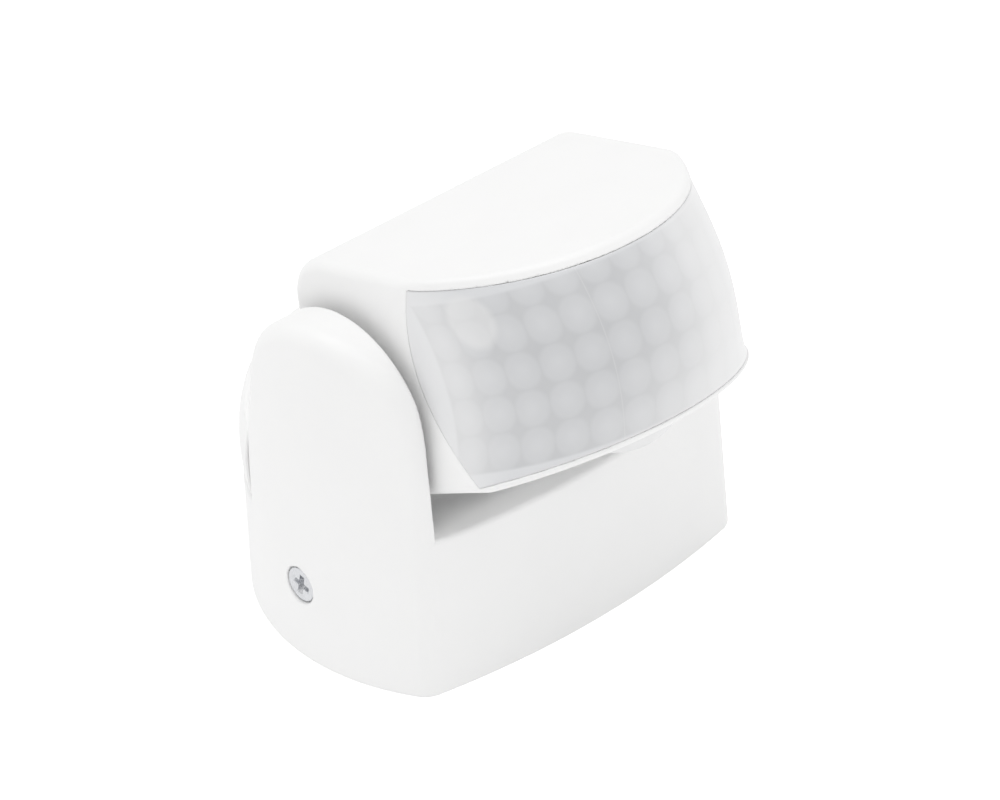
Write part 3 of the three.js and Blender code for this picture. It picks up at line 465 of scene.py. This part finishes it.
def countersunk_screw(x, y, z):
    """A countersunk screw about Z whose face is on z = 0 and whose shank points down."""
    depth = -z
    head, shank = SIDE_SCREW["head"], SIDE_SCREW["shank"]
    reach = head - np.clip(depth - 0.4, 0, head - shank)
    skull = rounded_max((np.hypot(x, y) - reach) * 0.8, np.maximum(-depth, depth - 2), 0.12)
    shaft = np.maximum(threaded(x, y, z, shank), np.maximum(depth - SIDE_SCREW["length"], 1 - depth))
    return rounded_max(np.minimum(skull, shaft), -cross_recess(x, y, depth), 0.08)


def pan_screw(head, shank, length, height):
    """A pan-head screw about Z whose crown is at z = 0 and whose shank points down."""

    def field(x, y, z):
        depth = -z
        skull = rounded_max(np.hypot(x, y) - head, np.maximum(-depth, depth - height), height * 0.45)
        ends = np.maximum(depth - length, height / 2 - depth)
        shaft = np.maximum(threaded(x, y, z, shank, 0.8), ends)
        scale = 0.8
        recess = cross_recess(x / scale, y / scale, depth / scale) * scale
        recess = np.maximum(recess, depth - height * 0.65)
        return rounded_max(np.minimum(skull, shaft), -recess, 0.06)

    return field


# ---- From a field to a mesh ----
def gradient(field, points, step=0.01):
    """The slope of a field at points, by central differences."""
    slopes = []
    for axis in range(3):
        shift = np.zeros(3)
        shift[axis] = step
        ahead = field(*(points + shift).T)
        behind = field(*(points - shift).T)
        slopes.append((ahead - behind) / (2 * step))
    return np.stack(slopes, axis=1)


def crossing_edges(values, axis):
    """Grid edges along an axis that cross the surface: their start, crossing point and way out."""
    start = [slice(None)] * 3
    end = [slice(None)] * 3
    start[axis] = slice(None, -1)
    end[axis] = slice(1, None)
    a, b = values[tuple(start)], values[tuple(end)]
    at = np.argwhere((a < 0) != (b < 0))
    fa, fb = a[tuple(at.T)], b[tuple(at.T)]
    point = at.astype(float)
    point[:, axis] += fa / (fa - fb)
    return at, point, fa < 0


def level_surface(field, low, high, cell):
    """Points, quads and normals of the closed surface where a field is zero, by surface nets."""
    axes = [np.arange(a - 1.5 * cell, b + 2.5 * cell, cell) for a, b in zip(low, high)]
    x, y, z = np.meshgrid(*axes, indexing="ij", sparse=True)
    values = np.broadcast_to(field(x, y, z), [len(a) for a in axes])
    shape = np.array(values.shape)
    quads, points = [], []
    for axis in range(3):
        at, point, outward = crossing_edges(values, axis)
        second, third = (axis + 1) % 3, (axis + 2) % 3
        around = []
        for back_second, back_third in ((0, 0), (1, 0), (1, 1), (0, 1)):
            neighbour = at.copy()
            neighbour[:, second] -= back_second
            neighbour[:, third] -= back_third
            around.append(np.ravel_multi_index(tuple(neighbour.T), shape))
        ring = np.stack(around, axis=1)
        quads.append(np.where(outward[:, None], ring, ring[:, ::-1]))
        points.append(point)
    quads, points = np.concatenate(quads), np.concatenate(points)
    _, cell_of = np.unique(quads, return_inverse=True)
    cell_of = cell_of.ravel()
    share = np.bincount(cell_of)
    centres = np.stack(
        [np.bincount(cell_of, weights=np.repeat(points[:, k], 4)) / share for k in range(3)],
        axis=1,
    )
    vertices = centres * cell + np.array([a[0] for a in axes])
    for _ in range(3):
        slope = gradient(field, vertices)
        steep = np.maximum((slope**2).sum(axis=1), 0.05)
        move = -slope * (field(*vertices.T) / steep)[:, None]
        vertices += np.clip(move, -cell / 3, cell / 3)
    normals = gradient(field, vertices)
    normals /= np.maximum(np.linalg.norm(normals, axis=1), 1e-9)[:, None]
    return vertices, cell_of.reshape(-1, 4), normals


def new_object(name, points, faces, normals=None):
    """A smooth-shaded mesh object from points in millimetres in the row frame."""
    mesh = bpy.data.meshes.new(name)
    mesh.from_pydata((points * MM).tolist(), [], faces.tolist())
    mesh.update()
    mesh.polygons.foreach_set("use_smooth", [True] * len(mesh.polygons))
    if normals is not None:
        mesh.normals_split_custom_set_from_vertices(normals.tolist())
    obj = bpy.data.objects.new(name, mesh)
    bpy.context.scene.collection.objects.link(obj)
    return obj


def axes_of(z_axis, x_axis, origin):
    """The placement of a piece drawn about +Z, from its axes in the row frame."""
    z_axis = Vector(z_axis).normalized()
    x_axis = Vector(x_axis).normalized()
    y_axis = z_axis.cross(x_axis)
    turn = Matrix((x_axis, y_axis, z_axis)).transposed()
    return Matrix.Translation(origin) @ turn.to_4x4()


ROW = Matrix.Identity(4)
HEAD = Matrix.Translation((0, PIVOT_Y, PIVOT_Z)) @ Matrix.Rotation(math.radians(-HEAD_TILT), 4, "X")


def dress(obj, body, nodes, material):
    """Gives a piece its finish and its place in the assembly."""
    obj.data.materials.append(material)
    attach(obj, body)
    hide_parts(*nodes)
    return obj


def moulding(node, field, low, high, cell, body, slot, place=ROW):
    """The smooth piece that stands for a CAD node, from its distance field."""
    points, quads, normals = level_surface(field, low, high, cell * COARSE)
    turn = np.array(place.to_3x3())
    points = points @ turn.T + np.array(place.translation)
    obj = new_object(node + "_skin", points, quads, normals @ turn.T)
    return dress(obj, body, [node], MATERIALS[slot])


# ---- Materials ----
def node_material(name):
    """A new material, its node tree and its Principled shader."""
    material = bpy.data.materials.new(name)
    material.use_nodes = True
    tree = material.node_tree
    shader = tree.nodes["Principled BSDF"]
    return material, tree, shader


def add(tree, kind, inputs=None, **settings):
    """A node with its settings and its input values or links."""
    node = tree.nodes.new(kind)
    for key, value in settings.items():
        setattr(node, key, value)
    for key, value in (inputs or {}).items():
        if isinstance(value, bpy.types.NodeSocket):
            tree.links.new(value, node.inputs[key])
        else:
            node.inputs[key].default_value = value
    return node


def maths(tree, operation, a, b=0.0, c=0.0):
    node = add(tree, "ShaderNodeMath", {0: a, 1: b, 2: c}, operation=operation)
    return node.outputs[0]


def length(tree, a, b):
    """The length of a two-part vector."""
    squares = maths(tree, "MULTIPLY_ADD", a, a, maths(tree, "MULTIPLY", b, b))
    return maths(tree, "SQRT", squares)


def ramp(tree, value, low, high, to_low=0.0, to_high=1.0):
    """A smooth step between two levels of a value."""
    inputs = {"Value": value, "From Min": low, "From Max": high, "To Min": to_low, "To Max": to_high}
    node = add(tree, "ShaderNodeMapRange", inputs, interpolation_type="SMOOTHSTEP")
    return node.outputs[0]


def noise(tree, scale, detail=3.0, roughness=0.55):
    """Fractal noise in the piece's own space; scale is in bumps per metre."""
    place = add(tree, "ShaderNodeTexCoord").outputs["Object"]
    inputs = {"Vector": place, "Scale": scale, "Detail": detail, "Roughness": roughness}
    return add(tree, "ShaderNodeTexNoise", inputs).outputs["Fac"]


def blend_colours(tree, factor, first, second):
    node = add(tree, "ShaderNodeMix", data_type="RGBA")
    for socket, value in ((node.inputs[0], factor), (node.inputs[6], first), (node.inputs[7], second)):
        if isinstance(value, bpy.types.NodeSocket):
            tree.links.new(value, socket)
        else:
            socket.default_value = value
    return node.outputs[2]


def grey(level, tint=(1, 1, 1)):
    return tuple(level * part for part in tint) + (1,)


def moulded(name, colour, roughness, grain=0.02, grain_scale=9000, mottle=0.03, coat=0.0):
    """Moulded plastic or rubber: fine spark-eroded grain, faint mottling, uneven gloss."""
    material, tree, shader = node_material(name)
    broad = noise(tree, 90, 4)
    fine = noise(tree, grain_scale, 2)
    darker = tuple(part * (1 - mottle) for part in colour) + (1,)
    tint = blend_colours(tree, ramp(tree, broad, 0.35, 0.65), darker, tuple(colour) + (1,))
    tree.links.new(tint, shader.inputs["Base Color"])
    gloss = ramp(tree, noise(tree, 400, 3), 0.3, 0.7, roughness * 0.9, min(roughness * 1.12, 1))
    tree.links.new(gloss, shader.inputs["Roughness"])
    bump_inputs = {"Height": fine, "Strength": 0.6, "Distance": grain * MM}
    bump = add(tree, "ShaderNodeBump", bump_inputs)
    tree.links.new(bump.outputs[0], shader.inputs["Normal"])
    shader.inputs["Coat Weight"].default_value = coat
    return material


def metal(name, colour, roughness, scratch=(1500, 1500, 90)):
    """Plated metal with fine drawing marks and slightly uneven gloss."""
    material, tree, shader = node_material(name)
    place = add(tree, "ShaderNodeTexCoord").outputs["Object"]
    stretched = add(tree, "ShaderNodeMapping", {"Vector": place, "Scale": scratch}).outputs[0]
    marks_inputs = {"Vector": stretched, "Scale": 3.0, "Detail": 4.0}
    marks = add(tree, "ShaderNodeTexNoise", marks_inputs).outputs["Fac"]
    dull = tuple(part * 0.86 for part in colour) + (1,)
    tint = blend_colours(tree, noise(tree, 600), dull, tuple(colour) + (1,))
    tree.links.new(tint, shader.inputs["Base Color"])
    tree.links.new(ramp(tree, marks, 0.3, 0.7, roughness * 0.7, roughness * 1.3), shader.inputs["Roughness"])
    bump = add(tree, "ShaderNodeBump", {"Height": marks, "Strength": 0.3, "Distance": 0.01 * MM})
    tree.links.new(bump.outputs[0], shader.inputs["Normal"])
    shader.inputs["Metallic"].default_value = 1
    return material


def circuit_board():
    """Green solder mask over copper tracks, with tinned pads on a fine pitch."""
    material, tree, shader = node_material("circuit_board")
    place = add(tree, "ShaderNodeTexCoord").outputs["Object"]
    brick_inputs = {"Vector": place, "Scale": 260.0, "Mortar Size": 0.012, "Bias": 0.0}
    tracks = add(tree, "ShaderNodeTexBrick", brick_inputs, offset=0.5, squash=1.4, squash_frequency=3)
    pads = add(tree, "ShaderNodeTexVoronoi", {"Vector": place, "Scale": 390.0}, distance="CHEBYCHEV")
    pad = ramp(tree, pads.outputs["Distance"], 0.16, 0.2, 1, 0)
    mask = blend_colours(tree, tracks.outputs["Fac"], (0.012, 0.13, 0.045, 1), (0.03, 0.24, 0.09, 1))
    tint = blend_colours(tree, pad, mask, (0.62, 0.62, 0.6, 1))
    tree.links.new(tint, shader.inputs["Base Color"])
    tree.links.new(pad, shader.inputs["Metallic"])
    bump_inputs = {"Height": tracks.outputs["Fac"], "Strength": 0.4, "Distance": 0.04 * MM}
    bump = add(tree, "ShaderNodeBump", bump_inputs)
    tree.links.new(bump.outputs[0], shader.inputs["Normal"])
    shader.inputs["Roughness"].default_value = 0.32
    shader.inputs["Coat Weight"].default_value = 0.4
    return material


def milky_lens():
    """Milky polyethylene, painted with the light and shade of its inside seen through it.
    The shaded inside is painted as a darker colour: rows of round lenslets on its inner face show
    as pale discs with darker corners between them, and the border around them is plain and lighter.
    A painted patch of light lies where the inner frame shows through, and the painted shade fades
    to pale where the skin is seen edge on and toward its ends. The lens map holds millimetres along
    and up the skin."""
    material, tree, shader = node_material("milky_lens")
    lens_map = add(tree, "ShaderNodeUVMap", uv_map="lens").outputs[0]
    parts = add(tree, "ShaderNodeSeparateXYZ", {0: lens_map}).outputs
    along, up = parts[0], parts[1]
    column = maths(tree, "MULTIPLY_ADD", along, 1 / LENSLET_WIDTH, 0.5)
    row = maths(tree, "MULTIPLY_ADD", up, 1 / LENSLET_HEIGHT, -LENSLET_RISE / LENSLET_HEIGHT)
    across = maths(tree, "PINGPONG", column, 0.5)
    upright = maths(tree, "PINGPONG", row, 0.5)
    radius = length(tree, across, upright)
    disc = ramp(tree, radius, 0.4, 0.58, 1, 0)
    core = ramp(tree, radius, 0.0, 0.45, 1, 0)
    blobs = maths(tree, "MULTIPLY_ADD", disc, 0.6, maths(tree, "MULTIPLY", core, 0.4))
    # painted shade: the shaded inside seen through the lens is painted as a dark grey, paler over each
    # lenslet and plain and lighter in the border
    painted_interior = blend_colours(tree, blobs, grey(0.6, COOL), grey(0.69, COOL))
    height = maths(tree, "ABSOLUTE", up)
    sideways = maths(tree, "ABSOLUTE", along)
    edge = ramp(tree, height, LENS_HALF_ZONE - LENSLET_BLUR, LENS_HALF_ZONE + LENSLET_BLUR)
    end = ramp(tree, sideways, LENS_END - 0.4, LENS_END + 0.4)
    painted_interior = blend_colours(tree, maths(tree, "MAXIMUM", edge, end), painted_interior, grey(0.75, COOL))
    # painted light: a soft pale patch where the lit inner frame shows through the lens
    patch_x = maths(tree, "MULTIPLY_ADD", along, 1 / PAINTED_LIGHT_PATCH[2], -PAINTED_LIGHT_PATCH[0] / PAINTED_LIGHT_PATCH[2])
    patch_y = maths(tree, "MULTIPLY_ADD", up, 1 / PAINTED_LIGHT_PATCH[3], -PAINTED_LIGHT_PATCH[1] / PAINTED_LIGHT_PATCH[3])
    patch = length(tree, patch_x, patch_y)
    painted_interior = blend_colours(tree, ramp(tree, patch, 0.7, 1.05, 0.5, 0), painted_interior, grey(0.84))
    seam = maths(tree, "ABSOLUTE", maths(tree, "ADD", along, SEAM))
    painted_interior = blend_colours(tree, ramp(tree, seam, 0.04, 0.14, 0.2, 0), painted_interior, grey(0.84))
    # painted light: the painted interior shade fades to pale grey where the skin is seen edge on and toward
    # the lens ends
    facing = add(tree, "ShaderNodeLayerWeight", {"Blend": 0.5}).outputs["Facing"]
    ends = ramp(tree, sideways, 26, 36, 0, 0.5)
    shade_fade = maths(tree, "MAXIMUM", ramp(tree, facing, 0.02, 0.62, 0, 0.8), ends)
    tint = blend_colours(tree, shade_fade, painted_interior, grey(0.9))
    cloud = ramp(tree, noise(tree, 160, 4), 0.3, 0.7)
    tint = blend_colours(tree, maths(tree, "MULTIPLY", cloud, 0.06), tint, grey(0.9))
    tree.links.new(tint, shader.inputs["Base Color"])
    shader.inputs["Roughness"].default_value = 0.3
    shader.inputs["Coat Weight"].default_value = 0.25
    shader.inputs["Coat Roughness"].default_value = 0.15
    bump = add(tree, "ShaderNodeBump", {"Height": blobs, "Strength": 0.25, "Distance": 0.1 * MM})
    tree.links.new(bump.outputs[0], shader.inputs["Normal"])
    return material


MATERIALS = {
    "white_shell": moulded("white_shell", (0.945, 0.945, 0.942), 0.42, 0.012, 6000, 0.008),
    "milky_lens": milky_lens(),
    "steel": metal("steel", (0.72, 0.73, 0.75), 0.24),
    "tin": metal("tin", (0.75, 0.75, 0.76), 0.34),
    "rubber": moulded("rubber", (0.03, 0.03, 0.033), 0.82, 0.05, 5000, 0.15),
    "silicone": moulded("silicone", (0.68, 0.68, 0.65), 0.62, 0.03, 5000, 0.05),
    "nylon": moulded("nylon", (0.8, 0.78, 0.71), 0.5, 0.02, 7000, 0.04),
    "grey_plastic": moulded("grey_plastic", (0.3, 0.315, 0.33), 0.48, 0.03, 7000, 0.06),
    "black_plastic": moulded("black_plastic", (0.02, 0.021, 0.024), 0.42, 0.03, 7000, 0.2),
    "blue_plastic": moulded("blue_plastic", (0.04, 0.14, 0.4), 0.38, 0.02, 6000, 0.06, 0.2),
    "circuit_board": circuit_board(),
    "wire": moulded("wire", (0.42, 0.06, 0.04), 0.45, 0.02, 4000, 0.08),
    "dark_window": moulded("dark_window", (0.025, 0.012, 0.016), 0.16, 0.004, 3000, 0.1, 0.6),
    "red_lamp": moulded("red_lamp", (0.55, 0.03, 0.02), 0.2, 0.004, 3000, 0.05, 0.5),
}


# ---- The lens ----
def lens_skin(along, up, depth):
    """Points of the lens skin. along and up run from -1 to 1 over the window, and depth is
    how far the surface lies inside the head's outline."""
    z = (LENS_TOP + LENS_BOTTOM) / 2 + up * (LENS_TOP - LENS_BOTTOM) / 2
    for _ in range(6):
        radius, centre = front_arc(z)
        edge_y = lens_side(z) - LENS_GAP
        reach = np.arccos(np.clip((centre - edge_y) / radius, -1, 1))
        turn = along * reach
        y = centre - radius * np.cos(turn)
        low = underside_at(y) + LIP + LENS_GAP
        high = top_at(y) - BROW - LENS_GAP
        z = (low + high) / 2 + up * (high - low) / 2
    x = (radius - depth) * np.sin(turn)
    y = centre - (radius - depth) * np.cos(turn)
    lens_map = np.stack([turn * radius, up * (high - low) / 2], axis=-1)
    return np.stack([x, y, z], axis=-1), lens_map


def lenslets(lens_map):
    """How far the inner face stands in at each place, a round cap for each lenslet."""
    cells = np.stack(
        [lens_map[..., 0] / LENSLET_WIDTH + 0.5, (lens_map[..., 1] - LENSLET_RISE) / LENSLET_HEIGHT],
        axis=-1,
    )
    from_centre = np.linalg.norm(cells - np.round(cells), axis=-1)
    zone = (np.abs(lens_map[..., 1]) < LENS_HALF_ZONE) & (np.abs(lens_map[..., 0]) < LENS_END)
    return np.where(zone, np.clip(1 - (from_centre / 0.52) ** 2, 0, 1), 0)


def grid_faces(rows, columns, offset, flip):
    """Quads of a grid of points, wound to face one way or the other."""
    index = offset + np.arange(rows * columns).reshape(rows, columns)
    ring = np.stack([index[:-1, :-1], index[:-1, 1:], index[1:, 1:], index[1:, :-1]], axis=-1)
    faces = ring.reshape(-1, 4)
    return faces[:, ::-1] if flip else faces


def border_of(rows, columns):
    """Point numbers once round the edge of a grid."""
    index = np.arange(rows * columns).reshape(rows, columns)
    return np.concatenate([index[0, :-1], index[:-1, -1], index[-1, :0:-1], index[:0:-1, 0]])


def fresnel_lens():
    columns = 320
    rows = 120
    up, along = np.meshgrid(np.linspace(-1, 1, rows), np.linspace(-1, 1, columns), indexing="ij")
    outer, lens_map = lens_skin(along, up, LENS_SET_BACK)
    depth = LENS_SET_BACK + LENS_THICKNESS - LENSLET_DEPTH * (1 - lenslets(lens_map))
    inner, _ = lens_skin(along, up, depth)
    count = rows * columns
    points = np.concatenate([outer.reshape(-1, 3), inner.reshape(-1, 3)])
    rim = border_of(rows, columns)
    ahead = np.roll(rim, -1)
    edge = np.stack([ahead, rim, rim + count, ahead + count], axis=1)
    outside = grid_faces(rows, columns, 0, False)
    inside = grid_faces(rows, columns, count, True)
    faces = np.concatenate([outside, inside, edge])
    turn = np.array(HEAD.to_3x3())
    obj = new_object("fresnel_lens_skin", points @ turn.T + np.array(HEAD.translation), faces)
    layer = obj.data.uv_layers.new(name="lens")
    both = np.concatenate([lens_map.reshape(-1, 2)] * 2)
    corners = np.zeros(len(obj.data.loops), int)
    obj.data.loops.foreach_get("vertex_index", corners)
    layer.data.foreach_set("uv", both[corners].ravel())
    return dress(obj, "head", ["fresnel_lens"], MATERIALS["milky_lens"])


# ---- Placing the pieces ----
def on_underside(x, y, depth=0):
    """The placement of a piece drawn about +Z with z = 0 on the head's underside."""
    lean = math.atan(UNDERSIDE_SLOPE)
    origin = (x, y + depth * math.sin(lean), underside_at(y) + depth * math.cos(lean))
    return HEAD @ Matrix.Translation(origin) @ Matrix.Rotation(-lean, 4, "X")


def mouldings():
    reach = BASE_RADIUS
    ear_top = PIVOT_Z + EAR_RADIUS
    moulding("base_housing", housing, (-reach, -25, 0), (reach, reach, ear_top), 0.36, "base", "white_shell")
    moulding("rear_cover", cover, (-35, 16, 19), (35, reach, 35), 0.42, "base", "white_shell")
    moulding("mounting_plate", mounting_plate, (-36, -22, 0), (36, 36, 17), 0.42, "base", "grey_plastic")
    moulding("wall_gasket", wall_gasket, (-34, -20, 0), (34, 34, 1), 0.25, "base", "rubber")
    grommet_low = (-9, CABLE_HOLE["y"] - 9, 0)
    grommet_high = (9, CABLE_HOLE["y"] + 9, 6)
    moulding("cable_grommet", cable_grommet, grommet_low, grommet_high, 0.25, "base", "rubber")
    moulding("head_shell", head_shell, (-27.5, -44, -16), (27.5, 9, 26), 0.31, "head", "white_shell", HEAD)
    moulding("lens_frame", lens_frame, (-27, -43, -12), (27, -14, 22), 0.45, "head", "nylon", HEAD)
    low, high = (-27, -44, -15), (27, 2, -5)
    moulding("underside_panel", underside_panel, low, high, 0.4, "head", "white_shell", HEAD)
    dome = DOME["flange"] + 0.5
    place = on_underside(0, DOME["y"])
    low, high = (-dome, -dome, -4.5), (dome, dome, 4)
    moulding("look_down_lens", look_down_lens, low, high, 0.25, "head", "milky_lens", place)


def dials():
    reach = DIAL["radius"] + 0.2
    for i, name in enumerate(("sensitivity_dial", "time_dial", "lux_dial")):
        place = on_underside((i - 1) * DIAL["spacing"], DIAL["y"])
        moulding(name, dial, (-reach, -reach, 0), (reach, reach, 5.2), 0.14, name, "grey_plastic", place)


def screws():
    reach = SIDE_SCREW["head"] + 0.2
    low = (-reach, -reach, -SIDE_SCREW["length"] - 0.2)
    for side, name in ((-1, "side_screw_left"), (1, "side_screw_right")):
        face = (side * side_face(), SIDE_SCREW["y"], SIDE_SCREW["z"])
        place = axes_of((side, 0, 0), (0, 0.97, 0.24), face)
        moulding(name, countersunk_screw, low, (reach, reach, 0.2), 0.11, "base", "steel", place)
    cover = pan_screw(COVER_SCREW["head"], COVER_SCREW["shank"], COVER_SCREW["length"], 1)
    place = axes_of((0, 1, 0), (1, 0, 0), (0, COVER_SCREW["y"], COVER_SCREW["z"]))
    moulding("rear_cover_screw", cover, (-2.5, -2.5, -6.2), (2.5, 2.5, 0.2), 0.12, "base", "steel", place)
    small = pan_screw(HEAD_SCREW["head"], HEAD_SCREW["shank"], HEAD_SCREW["length"], 0.7)
    low, high = (-2.4, -2.4, -6.2), (2.4, 2.4, 0.2)
    places = [(side * HEAD_SCREW["x"], y) for side in (-1, 1) for y in HEAD_SCREW["ys"]]
    for i, (x, y) in enumerate(places):
        place = on_underside(x, y, HEAD_SCREW["depth"]) @ Matrix.Rotation(math.pi, 4, "X")
        moulding(f"head_screw_{i + 1}", small, low, high, 0.12, "head", "steel", place)


def carried_nodes():
    """Gives each CAD node that is still shown the finish of its slot."""
    slots = {part["node"]: part["material_slot"] for part in frame["record"]["subparts"]}
    for name, node in frame["nodes"].items():
        if not node.hide_render:
            node.data.materials.clear()
            node.data.materials.append(MATERIALS[slots[name]])


# ---- Studio ----
def camera():
    azimuth, elevation, roll = (math.radians(CAMERA[k]) for k in ("azimuth", "elevation", "roll"))
    level = math.cos(elevation)
    back = Vector((math.sin(azimuth) * level, -math.cos(azimuth) * level, math.sin(elevation)))
    right = Vector((math.cos(azimuth), math.sin(azimuth), 0))
    up = back.cross(right)
    right_rolled = right * math.cos(roll) + up * math.sin(roll)
    up_rolled = up * math.cos(roll) - right * math.sin(roll)
    data = bpy.data.cameras.new("camera")
    data.lens = CAMERA["lens"]
    data.sensor_width = 36
    data.clip_start = 0.05
    data.clip_end = 20
    obj = bpy.data.objects.new("camera", data)
    place = back * CAMERA_DISTANCE + right * CAMERA_SHIFT[0] + up * CAMERA_SHIFT[1]
    turn = Matrix((right_rolled, up_rolled, back)).transposed().to_4x4()
    obj.matrix_world = Matrix.Translation(place * MM) @ turn
    bpy.context.scene.collection.objects.link(obj)
    bpy.context.scene.camera = obj


def soft_light(name, place, size, power):
    """A square softbox that faces the object."""
    data = bpy.data.lights.new(name, "AREA")
    data.shape = "SQUARE"
    data.size = size
    data.energy = power
    obj = bpy.data.objects.new(name, data)
    obj.location = place
    obj.rotation_mode = "QUATERNION"
    obj.rotation_quaternion = (Vector(place) - Vector((0, 0, 0.03))).to_track_quat("Z", "Y")
    bpy.context.scene.collection.objects.link(obj)


def floor():
    """A wide, nearly white floor that keeps only a trace of the object's shadow."""
    material, tree, shader = node_material("floor")
    tint = blend_colours(tree, noise(tree, 3), grey(0.93), grey(0.95))
    tree.links.new(tint, shader.inputs["Base Color"])
    tree.links.new(tint, shader.inputs["Emission Color"])
    seen = add(tree, "ShaderNodeLightPath").outputs["Is Camera Ray"]
    glow = ramp(tree, seen, 0, 1, FLOOR_GLOW[0], FLOOR_GLOW[1])
    tree.links.new(glow, shader.inputs["Emission Strength"])
    shader.inputs["Roughness"].default_value = 1
    half = 6.0
    points = np.array([(-half, -half, 0), (half, -half, 0), (half, half, 0), (-half, half, 0)])
    obj = new_object("floor", points / MM, np.array([[0, 1, 2, 3]]))
    obj.data.materials.append(material)
    obj.location.z = -0.0002


def studio():
    scene = bpy.context.scene
    scene.view_settings.view_transform = "Standard"
    world = bpy.data.worlds.new("studio")
    world.use_nodes = True
    tree = world.node_tree
    sky = tree.nodes["Background"]
    sky.inputs["Color"].default_value = grey(1)
    seen = add(tree, "ShaderNodeLightPath").outputs["Is Camera Ray"]
    tree.links.new(ramp(tree, seen, 0, 1, *SKY_LEVEL), sky.inputs["Strength"])
    scene.world = world
    soft_light("top", (-0.15, 0.1, 1.1), 0.9, TOP_POWER)
    soft_light("right", (1.0, -0.6, 0.3), 0.8, RIGHT_POWER)
    floor()
    camera()


mouldings()
fresnel_lens()
dials()
screws()
carried_nodes()
studio()
